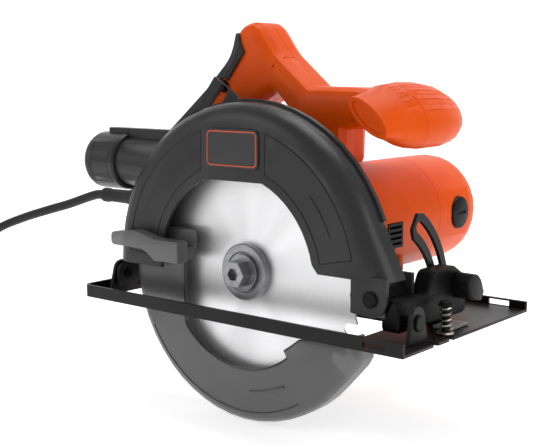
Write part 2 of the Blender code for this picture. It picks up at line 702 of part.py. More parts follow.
def make_upper_guard():
    """The hollow upper guard with its arch, spout seat and pivot lugs."""
    turned_in = GUARD_ROUNDING - GUARD_WALL
    lip_back = LIP_Y[1]
    guard = plate("upper_guard", "Y", [guard_outline()], GUARD_FRONT,
                  lip_back + GUARD_ROUNDING, "guard", rounding=GUARD_ROUNDING, segments=2)
    cut(guard, box("guard_front_trim", (-0.13, lip_back, -0.1), (0.2, 0.02, 0.25)))
    join(guard, plate("guard_rear_shell", "Y", [rear_shell_outline(REAR_SHELL_RADIUS)],
                      lip_back - 0.002, GUARD_BACK))
    join(guard, plate("guard_lip", "Y", [lip_outline()], *LIP_Y))
    join(guard, cylinder("guard_spout_stub", SPOUT_RADIUS - SPOUT_WALL, "X",
                         along_x(SPOUT_AXIS), SPOUT_SEAT_X - 0.014, -0.080, steps=24))
    y, z = SPOUT_AXIS
    join(guard, box("guard_fin", (SPOUT_SEAT_X + 2 * GAP, y - FIN_HALF, z),
                    (-0.070, y + FIN_HALF, z + SPOUT_RADIUS + FIN_HEIGHT)))
    cut(guard, plate("guard_room", "Y", [guard_outline()], GUARD_FRONT + GUARD_WALL,
                     lip_back - GUARD_WALL + turned_in, offset=-GUARD_WALL,
                     rounding=turned_in, segments=1))
    cut(guard, plate("guard_rear_room", "Y",
                     [rear_shell_outline(REAR_SHELL_RADIUS - GUARD_WALL)],
                     GUARD_FRONT + GUARD_WALL + 0.010, GUARD_BACK - WALL))
    cut(guard, plate("guard_leg_trim", "Y", [trim_outline()], GUARD_FRONT - 0.01,
                     GUARD_BACK + 0.01))
    skin = GAP / 3
    join(guard, cylinder("guard_lobe", LOWER_HUB + WALL, "Y", along_y(SPINDLE),
                         GUARD_BACK - WALL + skin, GUARD_BACK - skin, steps=24))
    front_lug = (GUARD_FRONT + skin, GUARD_FRONT + GUARD_WALL + skin)
    back_lug = (GUARD_BACK - WALL + skin, GUARD_BACK - skin)
    for name, sides in (("guard_front_lug", front_lug), ("guard_back_lug", back_lug)):
        join(guard, plate(name, "Y", [lug_outline()], *sides))
    cut(guard, plate("guard_arch", "Y", [arch_outline()], GUARD_FRONT - 0.01,
                     GUARD_FRONT + GUARD_WALL + 0.002))
    cut(guard, cylinder("guard_spout_bore", SPOUT_RADIUS - 2 * SPOUT_WALL, "X",
                        along_x(SPOUT_AXIS), -0.2, -0.070, steps=24))
    cut(guard, cylinder("guard_nose_bore", NOSE_RADIUS + GAP, "Y", along_y(SPINDLE),
                        GUARD_BACK - 0.01, GUARD_BACK + 0.01))
    cut(guard, cylinder("guard_pivot_bore", DEPTH_PIN + PIN_CLEARANCE, "Y",
                        along_y(DEPTH_PIVOT), GUARD_FRONT - 0.01, GUARD_BACK + 0.01))
    return guard


def lip_outline():
    """A thin raised lip that follows the guard's rim."""
    outer = arc(SPINDLE, GUARD_RADIUS + LIP_HEIGHT, 176, 22, 22)
    inner = arc(SPINDLE, GUARD_RADIUS - 0.0015, 22, 176, 22)
    return outer + inner


def make_dust_adaptor():
    """The round dust spout that slides on the guard's seat."""
    seat = SPOUT_RADIUS - SPOUT_WALL + GAP
    bore = SPOUT_RADIUS - 0.0025
    mouth, end = SPOUT_MOUTH_X, SPOUT_SEAT_X
    profile = [(seat, end), (SPOUT_RADIUS - 0.0012, end), (SPOUT_RADIUS, end - 0.0015),
               (SPOUT_RADIUS, mouth + 0.003), (SPOUT_RADIUS - 0.0015, mouth),
               (bore, mouth), (bore, end - 0.0190), (seat, end - 0.0160)]
    body = turned("dust_spout", profile, "X", along_x(SPOUT_AXIS), "guard", 32, closed=True)
    y, z = SPOUT_AXIS
    fin = box("spout_fin", (mouth + 0.011, y - FIN_HALF, z + SPOUT_RADIUS - 0.002),
              (end, y + FIN_HALF, z + SPOUT_RADIUS + FIN_HEIGHT))
    return join(body, fin)


def make_guard_badge():
    """The blank badge plate on the guard's face."""
    x, z = 0.0003, 0.1150
    half_w, half_h = 0.0232, 0.0130
    outline = rounded([(x - half_w, z - half_h, 0.004), (x + half_w, z - half_h, 0.004),
                       (x + half_w, z + half_h, 0.004), (x - half_w, z + half_h, 0.004)], 4)
    return plate("guard_badge", "Y", [outline], GUARD_FRONT - GAP - 0.0009,
                 GUARD_FRONT - GAP, "badge")


def lower_outline(inset=0.0):
    """Outer outline of the lower guard, from its toe round to its rear end."""
    toe = [(0.0900, -0.0030 - inset * 1.2), (0.0975 - inset, -0.0085 - inset),
           (0.0985 - inset, -0.0170), (0.0950 - inset, -0.0230 + inset)]
    return toe + arc(SPINDLE, LOWER_RADIUS - inset, -40, -196, 22)


def make_lower_guard():
    """The sprung lower guard: front wall, rim, back wall, hub and lever."""
    rear = polar(SPINDLE, LOWER_RADIUS, -196)
    hub = LOWER_HUB
    solid = lower_outline() + [(-0.030, rear[1]), (0.0, SPINDLE[1] + hub),
                               (hub * 0.75, SPINDLE[1] + hub * 0.6), (hub, SPINDLE[1] - 0.006),
                               (0.040, -0.006)]
    guard = plate("lower_guard", "Y", [solid], LOWER_FRONT, LOWER_BACK + LOWER_ROUNDING,
                  "smoke", rounding=LOWER_ROUNDING, segments=2)
    cut(guard, box("lower_back_trim", (-0.2, LOWER_BACK, -0.2), (0.2, 0.02, 0.2)))
    room = lower_outline(LOWER_WALL) + [(-0.100, 0.12), (0.080, 0.12)]
    turned_in = LOWER_ROUNDING - LOWER_WALL
    cut(guard, plate("lower_room", "Y", [room], LOWER_FRONT + LOWER_WALL,
                     LOWER_BACK - LOWER_WALL + turned_in, rounding=turned_in, segments=1))
    back = [(-0.095, 0.056)] + arc(SPINDLE, LOWER_RADIUS - LOWER_WALL / 2, 165, 320, 22)
    back += [(0.040, -0.006), (hub, SPINDLE[1] - 0.006), (hub * 0.75, SPINDLE[1] + hub * 0.6),
             (0.0, SPINDLE[1] + hub), (-0.030, 0.056)]
    skin = GAP / 3
    join(guard, plate("lower_back_wall", "Y", [back], LOWER_BACK - LOWER_WALL - skin,
                      LOWER_BACK - skin))
    edge = -0.0520
    window = arc(SPINDLE, 0.067, -52, -140, 12) + [(edge, -0.010), (edge, 0.034),
                                                   (edge + 0.010, 0.044),
                                                   (edge + 0.010, 0.12), (0.12, 0.12),
                                                   (0.12, 0.004)]
    window += [(0.0880, -0.0025), (0.052, -0.0095), (0.0385, -0.0190)]
    cut(guard, plate("lower_window", "Y", [window], LOWER_FRONT - 0.01,
                     LOWER_BACK - LOWER_WALL - 0.003))
    cut(guard, cylinder("lower_hub_bore", NOSE_RADIUS + PIN_CLEARANCE, "Y", along_y(SPINDLE),
                        LOWER_FRONT - 0.01, LOWER_BACK + 0.01))
    join(guard, make_lower_lever())
    return set_origin(guard, along_y(SPINDLE))


def make_lower_lever():
    """The lever in front of the upper guard that opens the lower guard."""
    front = GUARD_FRONT - 0.0125
    outline = rounded([(-0.1085, 0.0405, 0.003), (-0.0750, 0.0400, 0.006),
                       (-0.0640, 0.0330, 0.004), (-0.0405, 0.0330, 0.001),
                       (-0.0405, 0.0485, 0.001), (-0.0640, 0.0485, 0.006),
                       (-0.0840, 0.0530, 0.008), (-0.1085, 0.0500, 0.003)])
    lever = plate("lower_lever", "Y", [outline], front, GUARD_FRONT - 0.0015,
                  rounding=0.001)
    post = box("lower_lever_post", (-0.0600, GUARD_FRONT - 0.003, 0.0335),
               (-0.0440, LOWER_FRONT + LOWER_WALL, 0.0425))
    return join(lever, post)


# --------------------------------------------------------------- transmission
def gear_centre():
    """Centre of the intermediate gears, off the line from spindle to motor."""
    low, high = Vector(SPINDLE), Vector(MOTOR_AXIS)
    first = GEAR_MODULE * (SMALL_TEETH + OUTPUT_TEETH) / 2
    second = GEAR_MODULE * (WHEEL_TEETH + PINION_TEETH) / 2
    span = (high - low).length
    along = (first ** 2 - second ** 2 + span ** 2) / (2 * span)
    aside = math.sqrt(first ** 2 - along ** 2)
    way = (high - low).normalized()
    centre = low + way * along + Vector((-way.y, way.x)) * aside
    return tuple(centre)


def gear_outline(centre, teeth, turn):
    """Straight-sided gear teeth, with backlash, turned by an angle in degrees."""
    pitch = GEAR_MODULE * teeth / 2
    tip, root = pitch + 0.90 * GEAR_MODULE, pitch - 1.20 * GEAR_MODULE
    step = 360 / teeth
    shape = ((root, -0.30), (tip, -0.11), (tip, 0.11), (root, 0.30))
    return [polar(centre, radius, turn + step * (i + share))
            for i in range(teeth) for radius, share in shape]


def mesh_turn(centre, teeth, other, other_turn, other_teeth):
    """The turn that puts a gap of this gear on a tooth of the other."""
    way = math.degrees(math.atan2(other[1] - centre[1], other[0] - centre[0]))
    their_way = way + 180
    phase = ((their_way - other_turn) / (360 / other_teeth)) % 1
    step = 360 / teeth
    return way + step * (phase + 0.5)


def bearing(name, centre, outer, bore, low, high):
    """A ball bearing as one plain ring."""
    profile = [(bore, high), (outer, high), (outer, low), (bore, low)]
    return turned(name, profile, "Y", along_y(centre), "steel", 16, closed=True)


def make_transmission():
    """Gears, shafts and bearings between the armature and the blade."""
    middle = gear_centre()
    bottom = GUARD_BACK + WALL
    output = (-0.0235, -0.0150)
    wheel = (-0.0130, -0.0080)
    output_turn = 0.0
    small_turn = mesh_turn(middle, SMALL_TEETH, SPINDLE, output_turn, OUTPUT_TEETH)
    shaft = 0.0060
    gear = plate("output_gear", "Y", [gear_outline(SPINDLE, OUTPUT_TEETH, output_turn),
                                      circle(SPINDLE, shaft + GAP)], *output, "steel")
    set_origin(gear, along_y(SPINDLE))
    wheel_turn = 0.0
    wheels = plate("intermediate_gears", "Y", [gear_outline(middle, WHEEL_TEETH, wheel_turn)],
                   *wheel, "steel")
    join(wheels, plate("intermediate_pinion", "Y",
                       [gear_outline(middle, SMALL_TEETH, small_turn)], output[0], wheel[0] + 0.001))
    join(wheels, cylinder("intermediate_shaft", 0.003, "Y", along_y(middle), bottom - 0.0018,
                          GEAR_CASE_BACK + 0.0022, steps=12))
    set_origin(wheels, along_y(middle))
    pinion_turn = mesh_turn(MOTOR_AXIS, PINION_TEETH, middle, wheel_turn, WHEEL_TEETH)
    armature_shaft(pinion_turn, wheel)
    make_spindle(shaft)
    bearing("spindle_front_bearing", SPINDLE, 0.0135, shaft + GAP, -0.0345, -0.0285)
    bearing("spindle_rear_bearing", SPINDLE, TAIL_BEARING, SPINDLE_TAIL + GAP,
            TAIL_END - 0.0050, TAIL_END)


def make_spindle(shaft):
    """The output spindle with its blade seat, flanges and bolt."""
    seat = BLADE_BORE - GAP / 2
    tail = SPINDLE_TAIL
    profile = [(0.0, TAIL_END), (tail, TAIL_END), (tail, -0.0140), (shaft, -0.0140),
               (shaft, -0.0360), (seat, -0.0360),
               (seat, BLADE_FRONT + 0.0003), (0.0029, BLADE_FRONT + 0.0003),
               (0.0029, -0.0385), (0.0, -0.0385)]
    spindle = turned("spindle", profile, "Y", along_y(SPINDLE), "steel", 20)
    cut(spindle, cylinder("spindle_lock_hole", LOCK_PIN + PIN_CLEARANCE, "X",
                          (0, LOCK_Y, SPINDLE[1]), -0.01, 0.01, steps=12))
    set_origin(spindle, along_y(SPINDLE))
    back = BLADE_BACK + GAP
    inner = [(seat + GAP, back + 0.0040), (0.0155, back + 0.0040), (FLANGE_RADIUS, back + 0.0015),
             (FLANGE_RADIUS, back), (seat + GAP, back)]
    set_origin(turned("inner_flange", inner, "Y", along_y(SPINDLE), "steel", 28, closed=True),
               along_y(SPINDLE))
    face = BLADE_FRONT - GAP
    front = face - FLANGE_THICKNESS
    outer = [(0.0034, face), (FLANGE_RADIUS, face), (FLANGE_RADIUS, front + 0.0008),
             (FLANGE_RADIUS - 0.0008, front), (0.0145, front), (0.0140, front + 0.0010),
             (0.0034, front + 0.0010)]
    set_origin(turned("outer_flange", outer, "Y", along_y(SPINDLE), "steel", 32, closed=True),
               along_y(SPINDLE))
    head = front + 0.0010 - GAP
    washer = [(0.0, -0.0390), (0.0026, -0.0390), (0.0026, head), (0.0128, head),
              (0.0128, head - 0.0018), (0.0, head - 0.0018)]
    bolt = turned("blade_bolt", washer, "Y", along_y(SPINDLE), "steel", 24)
    join(bolt, cylinder("bolt_hexagon", BOLT_HEAD_RADIUS, "Y", along_y(SPINDLE),
                        BOLT_HEAD_FRONT, head - 0.0010, steps=6))
    cut(bolt, cylinder("bolt_socket", 0.0045, "Y", along_y(SPINDLE),
                       BOLT_HEAD_FRONT - 0.01, BOLT_HEAD_FRONT + 0.0050, steps=6))
    return set_origin(bolt, along_y(SPINDLE))


def make_blade():
    """The saw blade: hooked teeth round a plain disc."""
    root = BLADE_RADIUS - TOOTH_DEPTH
    shape = ((BLADE_RADIUS - 0.0006, 0.00), (root + 0.0015, 0.075), (root, 0.17),
             (root + 0.0005, 0.30), (BLADE_RADIUS - 0.0035, 0.46),
             (BLADE_RADIUS - 0.0030, 0.80), (BLADE_RADIUS, 0.97))
    step = 360 / BLADE_TEETH
    outline = [polar(SPINDLE, radius, -step * (i + share))
               for i in range(BLADE_TEETH) for radius, share in shape]
    hole = circle(SPINDLE, BLADE_BORE, 32)
    blade = plate("saw_blade", "Y", [outline, hole], BLADE_FRONT, BLADE_BACK, "blade")
    return set_origin(blade, along_y(SPINDLE))


# ---------------------------------------------------------------------- motor
def case_outline(inset=0.0):
    """Outline of the gear case round its three shafts."""
    return hull([(SPINDLE, 0.0250 - inset), (gear_centre(), 0.0265 - inset),
                 (MOTOR_AXIS, MOTOR_RADIUS - 0.0005 - inset)])


def make_gear_case():
    """The alloy gear case with the nose that carries the lower guard."""
    back = GEAR_CASE_BACK
    case = plate("gear_case", "Y", [case_outline()], GUARD_BACK + GAP, back, "alloy")
    cut(case, plate("gear_case_room", "Y", [case_outline(WALL)], GUARD_BACK + GAP + WALL,
                    back + 0.01))
    nose = [(0.0, GUARD_BACK + 0.002), (NOSE_RADIUS, GUARD_BACK + 0.002),
            (NOSE_RADIUS, -0.0355), (0.0, -0.0355)]
    join(case, turned("gear_case_nose", nose, "Y", along_y(SPINDLE), None, 32))
    cut(case, cylinder("gear_case_bearing_seat", 0.0135 + GAP, "Y", along_y(SPINDLE),
                       -0.0348, -0.02, steps=32))
    cut(case, cylinder("gear_case_spindle_bore", BLADE_BORE + 0.0006, "Y", along_y(SPINDLE),
                       -0.05, -0.02))
    cut(case, cylinder("gear_case_shaft_seat", 0.0033, "Y", along_y(gear_centre()),
                       GUARD_BACK + WALL - 0.0022, -0.02))
    x, z = SPINDLE
    cut(case, cylinder("gear_case_lock_bore", LOCK_PIN + PIN_CLEARANCE, "X", (0, LOCK_Y, z),
                       x - 0.05, x - 0.021, steps=16))
    return case


def make_motor_housing():
    """The motor housing with the wall that closes the gear case."""
    wall = (GEAR_CASE_BACK + GAP, GEAR_CASE_BACK + GAP + WALL)
    housing = plate("motor_housing", "Y", [case_outline()], *wall, "orange")
    barrel = [(MOTOR_RADIUS - WALL, MOTOR_SEAM_Y), (MOTOR_RADIUS, MOTOR_SEAM_Y),
              (MOTOR_RADIUS, wall[0] + 0.001), (MOTOR_RADIUS - WALL, wall[0] + 0.001)]
    join(housing, turned("motor_barrel", barrel, "Y", along_y(MOTOR_AXIS), None, 28,
                         closed=True))
    seat = [(0.0112, wall[1] + 0.007), (0.0140, wall[1] + 0.007), (0.0140, wall[0] + 0.001),
            (0.0112, wall[0] + 0.001)]
    join(housing, turned("motor_bearing_ring", seat, "Y", along_y(MOTOR_AXIS), None, 20,
                         closed=True))
    cut(housing, cylinder("motor_shaft_bore", 0.0065, "Y", along_y(MOTOR_AXIS),
                          wall[0] - 0.01, wall[1] + 0.01))
    join(housing, cylinder("spindle_tail_boss", TAIL_BEARING + WALL, "Y", along_y(SPINDLE),
                           wall[0] + 0.001, HANDLE_NEAR - GAP))
    cut(housing, cylinder("spindle_tail_pocket", TAIL_BEARING + GAP, "Y", along_y(SPINDLE),
                          wall[0] - 0.01, TAIL_END + GAP))
    cut(housing, cylinder("intermediate_tail_bore", 0.0033, "Y", along_y(gear_centre()),
                          wall[0] - 0.01, wall[1] + 0.01))
    x, z = MOTOR_AXIS
    tab = box("motor_tab", (x + 0.026, wall[0], z - 0.0435), (x + 0.034, wall[0] + 0.012,
                                                            z - 0.020))
    join(housing, tab)
    y, height = 0.0175, 0.0545
    half_y, half_z = 0.0095, 0.0090
    cut(housing, box("vent_window", (x + 0.030, y - half_y, height - half_z),
                     (x + 0.060, y + half_y, height + half_z)))
    return housing


def make_vent_grille():
    """The black louvred grille in the motor housing's window."""
    x = MOTOR_AXIS[0] + MOTOR_RADIUS
    y, z = 0.0175, 0.0545
    half_y, half_z = 0.0095 - GAP, 0.0090 - GAP
    grille = box("vent_grille", (x - 0.0042, y - half_y, z - half_z),
                 (x + 0.0006, y + half_y, z + half_z), "black")
    count = 4
    for i in range(count):
        low = z - half_z + 0.0022 + i * 0.0038
        cut(grille, box(f"vent_cut_{i}", (x - 0.010, y - half_y + 0.0018, low),
                        (x + 0.010, y + half_y - 0.0018, low + 0.0016)))
    return grille


def make_motor_end_cap():
    """The rounded end of the motor housing, with its air slots."""
    seam = MOTOR_SEAM_Y + GAP
    end, radius, turn = MOTOR_END_Y, MOTOR_RADIUS, MOTOR_ROUNDING
    outer = [(0.0, end)]
    outer += arc((radius - turn, end - turn), turn, 90, 0, 5) + [(radius, seam)]
    inner = [(radius - WALL, seam)]
    inner += arc((radius - turn, end - turn), turn - WALL, 0, 90, 3)
    cap = turned("motor_end_cap", outer + inner + [(0.0, end - WALL)], "Y",
                 along_y(MOTOR_AXIS), "orange", 28)
    ring = [(0.0085, end - 0.001), (0.0115, end - 0.001), (0.0115, end - 0.0235),
            (0.0085, end - 0.0235)]
    join(cap, turned("end_bearing_ring", ring, "Y", along_y(MOTOR_AXIS), None, 20, closed=True))
    x, z = MOTOR_AXIS
    slots = []
    for level in (-0.018, -0.006, 0.006, 0.018):
        low, high = z + level - 0.0016, z + level + 0.0016
        for near, far in ((x - 0.0290, x - 0.0135), (x + 0.0135, x + 0.0290)):
            slots.append([(near, low), (far, low), (far, high), (near, high)])
    cut(cap, plate("air_slots", "Y", slots, end - 0.018, end + 0.01))
    reach = radius + 0.01
    cut(cap, cylinder("brush_cap_bores", BRUSH_CAP + GAP, "X", (x, BRUSH_Y, z),
                      -reach, reach, steps=24))
    return cap


def make_brush_caps():
    """The two brush caps, facing forward and back."""
    x, z = MOTOR_AXIS
    for name, side in (("brush_cap_front", 1), ("brush_cap_rear", -1)):
        low, high = sorted((side * (MOTOR_RADIUS + 0.0010), side * (MOTOR_RADIUS - BRUSH_DEPTH)))
        cap = cylinder(name, BRUSH_CAP, "X", (x, BRUSH_Y, z), low, high, "black", 24)
        head = side * (MOTOR_RADIUS + 0.0010)
        low, high = sorted((head + side * 0.001, head - side * 0.0015))
        cut(cap, box(f"{name}_slot", (x + low, BRUSH_Y - 0.0075, z - 0.001),
                     (x + high, BRUSH_Y + 0.0075, z + 0.001)))


def armature_shaft(pinion_turn, wheel):
    """The armature shaft with its pinion, fan, laminations and commutator."""
    end = MOTOR_END_Y - WALL - 0.002
    shaft = 0.0048
    profile = [(0.0, end), (shaft, end), (shaft, GEAR_CASE_BACK + 0.0015),
               (0.0030, GEAR_CASE_BACK + 0.0015), (0.0030, wheel[0] - 0.0008),
               (0.0, wheel[0] - 0.0008)]
    rod = turned("armature_shaft", profile, "Y", along_y(MOTOR_AXIS), "steel", 14)
    join(rod, plate("armature_pinion", "Y", [gear_outline(MOTOR_AXIS, PINION_TEETH,
                                                          pinion_turn)], wheel[0] - 0.0005,
                    GEAR_CASE_BACK - 0.0003))
    set_origin(rod, along_y(MOTOR_AXIS))
    bore = shaft + GAP
    bearing("armature_front_bearing", MOTOR_AXIS, 0.0109, bore, -0.0025, 0.0035)
    bearing("armature_rear_bearing", MOTOR_AXIS, 0.0082, bore, end - 0.0130, end - 0.0080)
    core = [(bore, 0.080), (0.0185, 0.0800), (0.0225, 0.0740), (0.0225, 0.0350),
            (0.0185, 0.0290), (bore, 0.0290)]
    armature = turned("armature", core, "Y", along_y(MOTOR_AXIS), "copper", 16, closed=True)
    set_origin(armature, along_y(MOTOR_AXIS))
    com = [(bore, 0.1150), (COMMUTATOR_RADIUS, 0.1150), (COMMUTATOR_RADIUS, 0.0960),
           (COMMUTATOR_RADIUS + 0.002, 0.0960), (COMMUTATOR_RADIUS + 0.002, 0.0930),
           (bore, 0.0930)]
    set_origin(turned("commutator", com, "Y", along_y(MOTOR_AXIS), "brass", 16, closed=True),
               along_y(MOTOR_AXIS))
    hub = [(bore, 0.0220), (0.0090, 0.0220), (0.0090, 0.0140), (0.0350, 0.0140),
           (0.0350, 0.0120), (bore, 0.0120)]
    fan = turned("cooling_fan", hub, "Y", along_y(MOTOR_AXIS), "black", 20, closed=True)
    x, z = MOTOR_AXIS
    for i in range(9):
        blade = box(f"fan_blade_{i}", (-0.0008, 0.0135, 0.0105), (0.0008, 0.0215, 0.0345))
        turn = Matrix.Rotation(2 * math.pi * i / 9, 4, "Y")
        blade.data.transform(Matrix.Translation((x, 0, z)) @ turn)
        join(fan, blade)
    set_origin(fan, along_y(MOTOR_AXIS))


def make_stator():
    """The wound field of the motor, clear of the housing."""
    outer = MOTOR_RADIUS - WALL - 0.0005
    profile = [(0.0245, 0.0740), (outer, 0.0740), (outer, 0.0360), (0.0245, 0.0360)]
    stator = turned("stator", profile, "Y", along_y(MOTOR_AXIS), "steel", 20, closed=True)
    for name, low, high in (("near", 0.0290, 0.0370), ("far", 0.0730, 0.0840)):
        coil = [(0.0255, high), (0.0325, high), (0.0325, low), (0.0255, low)]
        join(stator, turned(f"stator_coil_{name}", coil, "Y", along_y(MOTOR_AXIS), None, 20,
                            closed=True))
    return stator


# --------------------------------------------------------------------- handle
def handle_outline():
    """Outer outline of the handle halves in (x, z)."""
    x, z = MOTOR_AXIS
    reach = MOTOR_RADIUS + 2.5 * GAP
    outline = rounded([
        (0.0450, 0.1260, 0.0), (0.0660, 0.1310, 0.0096), (0.0660, 0.1550, 0.0096),
        (0.0160, 0.1555, 0.0060), (-0.0140, 0.1800, 0.0300), (-0.0300, 0.2015, 0.0120),
        (-0.0480, 0.2015, 0.0120), (-0.0550, 0.1770, 0.0300), (-0.0800, 0.1530, 0.0400),
        (-0.1120, 0.1270, 0.0400), (-0.1660, 0.0840, 0.0160), (-0.1660, 0.0460, 0.0140),
        (-0.1380, 0.0300, 0.0140)], 3)
    outline += [(x - reach - 0.004, 0.0300)]
    top = math.degrees(math.asin((z - 0.0305) / reach))
    return outline + arc(MOTOR_AXIS, reach, 180 + top, 84, 10)


def finger_outline():
    """The finger opening of the handle in (x, z)."""
    return rounded([(-0.0155, 0.1515, 0.004), (0.0030, 0.1330, 0.010),
                    (-0.0110, 0.0860, 0.014), (-0.1400, 0.0745, 0.006)], 3)


def pommel(name, inset=0.0):
    """The egg-shaped front grip, turned along Y, then flattened and tilted."""
    near, far = POMMEL_ENDS[0] + inset, POMMEL_ENDS[1] - inset
    middle, half = (near + far) / 2, (far - near) / 2
    profile = [(0.0, far)]
    for i in range(1, 8):
        share = math.cos(math.pi * i / 8 * 0.86)
        radius = (1 - abs(share) ** 2.6) ** 0.5 * (POMMEL_LONG - inset)
        profile.append((radius, middle + half * share))
    profile += [(profile[-1][0] * 0.90, near), (0.0, near)]
    body = turned(name, profile, "Y", (0, 0, 0), None, 18)
    for vertex in body.data.vertices:
        vertex.co.z *= 1 - 0.42 * max(0.0, (middle - vertex.co.y) / half) ** 3
    flat = (POMMEL_SHORT - inset) / (POMMEL_LONG - inset)
    shape = Matrix.Rotation(POMMEL_TILT, 4, "Y") @ Matrix.Diagonal((1, 1, flat, 1))
    body.data.transform(Matrix.Translation(along_y(POMMEL_CENTRE)) @ shape)
    return body


def trigger_frame():
    """Centre of the trigger's slot, and its inward and along directions."""
    low, high = Vector((-0.1400, 0.0745)), Vector((-0.0155, 0.1515))
    way = (high - low).normalized()
    centre = low + (high - low) * 0.60
    inward = Vector((-way.y, way.x))
    return centre, way, inward


def trigger_box(name, near, far, half, depth_in, depth_out, kind=None):
    """A block across the grip's inner edge, in the trigger's own directions."""
    centre, way, inward = trigger_frame()
    outline = [centre + way * half + inward * depth_in, centre - way * half + inward * depth_in,
               centre - way * half - inward * depth_out, centre + way * half - inward * depth_out]
    return plate(name, "Y", [[tuple(p) for p in outline]], near, far, kind)


def grip_hole_centre():
    """The (x, z) place of the lock-off button in the grip."""
    centre, way, inward = trigger_frame()
    return tuple(centre + inward * 0.0270 + way * 0.0220)


def make_handle_half(name, near, far, cavity):
    """One clamshell half of the handle with its half of the front grip."""
    half = plate(name, "Y", [handle_outline(), finger_outline()], HANDLE_NEAR, HANDLE_FAR,
                 "orange", rounding=HANDLE_ROUNDING, segments=1)
    join(half, pommel(f"{name}_pommel"))
    room = plate(f"{name}_room", "Y", [handle_outline(), finger_outline()],
                 HANDLE_NEAR + WALL, HANDLE_FAR - WALL, offset=-WALL,
                 rounding=HANDLE_ROUNDING - WALL, segments=0)
    for i, place in enumerate(SCREW_PLACES):
        cut(room, cylinder(f"{name}_boss_{i}", SCREW_BOSS, "Y", along_y(place),
                           HANDLE_NEAR, HANDLE_FAR, steps=12))
    cut(half, room, pommel(f"{name}_pommel_room", WALL))
    cut(half, box(f"{name}_trim", (-0.3, *cavity[0]), (0.2, *cavity[1])))
    bore = SCREW_RADIUS + PIN_CLEARANCE
    seat, deep = HANDLE_FAR - 0.0040, SEAM_Y - 0.0085
    well = [(0.0, HANDLE_FAR + 0.01), (0.0034, HANDLE_FAR + 0.01), (0.0034, seat),
            (bore, seat), (bore, deep), (0.0, deep)]
    for i, place in enumerate(SCREW_PLACES):
        cut(half, turned(f"{name}_screw_well_{i}", well, "Y", along_y(place), None, 10))
    cut(half, trigger_box(f"{name}_trigger_slot", SEAM_Y - 0.0085, SEAM_Y + 0.0085,
                          0.0210, 0.020, 0.020))
    cut(half, cylinder(f"{name}_button_bore", 0.0045 + PIN_CLEARANCE, "Y",
                       along_y(grip_hole_centre()), near - 0.01, far + 0.01))
    cut(half, cylinder(f"{name}_cord_bore", 0.0062, "X", (0, SEAM_Y, 0.0610),
                       -0.2, -0.158))
    return half


def make_handle():
    """Both handle halves, the rubber back, the controls and the screws."""
    below, above = (-0.1, -0.1), (0.2, 0.3)
    near_half = make_handle_half("handle_shell_blade_side", HANDLE_NEAR, SEAM_Y,
                                 ((SEAM_Y - GAP / 2, -0.1), above))
    cut(near_half, cylinder("handle_lever_bore", LEVER_BOLT + PIN_CLEARANCE, "Y",
                            along_y(depth_clamp_place()), -0.01,
                            HANDLE_NEAR + WALL + 0.001, steps=12))
    make_handle_half("handle_shell_motor_side", SEAM_Y, HANDLE_FAR,
                     (below, (SEAM_Y + GAP / 2, 0.3)))


def make_overmould():
    """The soft rubber back of the grip, standing just proud of it."""
    back = [(-0.0700, 0.2000), (-0.0470, 0.1930), (-0.0400, 0.1800), (-0.0590, 0.1560),
            (-0.1000, 0.1200), (-0.1480, 0.0830), (-0.1950, 0.0830), (-0.1950, 0.1400)]
    proud = plate("grip_overmould", "Y", [handle_outline()], HANDLE_NEAR - GAP - RUBBER,
                  HANDLE_FAR + GAP + RUBBER, "rubber", rounding=HANDLE_ROUNDING,
                  offset=GAP + RUBBER, segments=1)
    keep = plate("overmould_band", "Y", [back], -0.02, 0.06)
    combine(proud, [keep], "INTERSECT")
    cut(proud, plate("overmould_room", "Y", [handle_outline()], HANDLE_NEAR - GAP,
                     HANDLE_FAR + GAP, offset=GAP, rounding=HANDLE_ROUNDING, segments=1))
    cut(proud, cylinder("overmould_button_hole", 0.0062, "Y", along_y(grip_hole_centre()),
                        -0.02, 0.06))
    return proud


def make_controls():
    """The trigger, its lock-off button and the switch inside the grip."""
    trigger = trigger_box("trigger", SEAM_Y - 0.0080, SEAM_Y + 0.0080, 0.0200, 0.0080, 0.0110,
                          "black")
    centre, way, inward = trigger_frame()
    set_origin(trigger, (centre.x, SEAM_Y, centre.y))
    trigger_box("switch_module", SEAM_Y - 0.0095, SEAM_Y + 0.0095, 0.0180, 0.0250, -0.0165,
                "black")
    place = grip_hole_centre()
    low, high = HANDLE_NEAR - 0.0040, HANDLE_FAR + 0.0040
    profile = [(0.0, high), (0.0039, high), (0.0045, high - 0.0006), (0.0045, low + 0.0006),
               (0.0039, low), (0.0, low)]
    button = turned("lock_off_button", profile, "Y", along_y(place), "black", 20)
    set_origin(button, (place[0], SEAM_Y, place[1]))


def make_depth_lever():
    """The depth clamp: bolt, nut and lever on the motor side of the quadrant."""
    x, z = depth_clamp_place()
    near, far = DEPTH_PLATE_Y
    outline = rounded([(x + 0.0080, z + 0.0080, 0.006), (x - 0.0080, z + 0.0090, 0.006),
                       (x - 0.0480, z - 0.0020, 0.004), (x - 0.0480, z - 0.0110, 0.004),
                       (x, z - 0.0085, 0.006)])
    lever = plate("depth_lever", "Y", [outline], far + GAP, far + 0.0095, "black",
                  rounding=0.0012)
    join(lever, cylinder("depth_bolt_shank", DEPTH_SLOT - 0.0007, "Y", (x, 0, z),
                         near - 0.002, far + 0.004))
    join(lever, cylinder("depth_bolt_head", 0.0080, "Y", (x, 0, z), near - GAP - 0.0035,
                         near - GAP, steps=6))
    join(lever, cylinder("depth_bolt_tail", LEVER_BOLT, "Y", (x, 0, z), far + 0.004,
                         HANDLE_NEAR + WALL - 0.0005))
    return set_origin(lever, (x, (near + far) / 2, z))


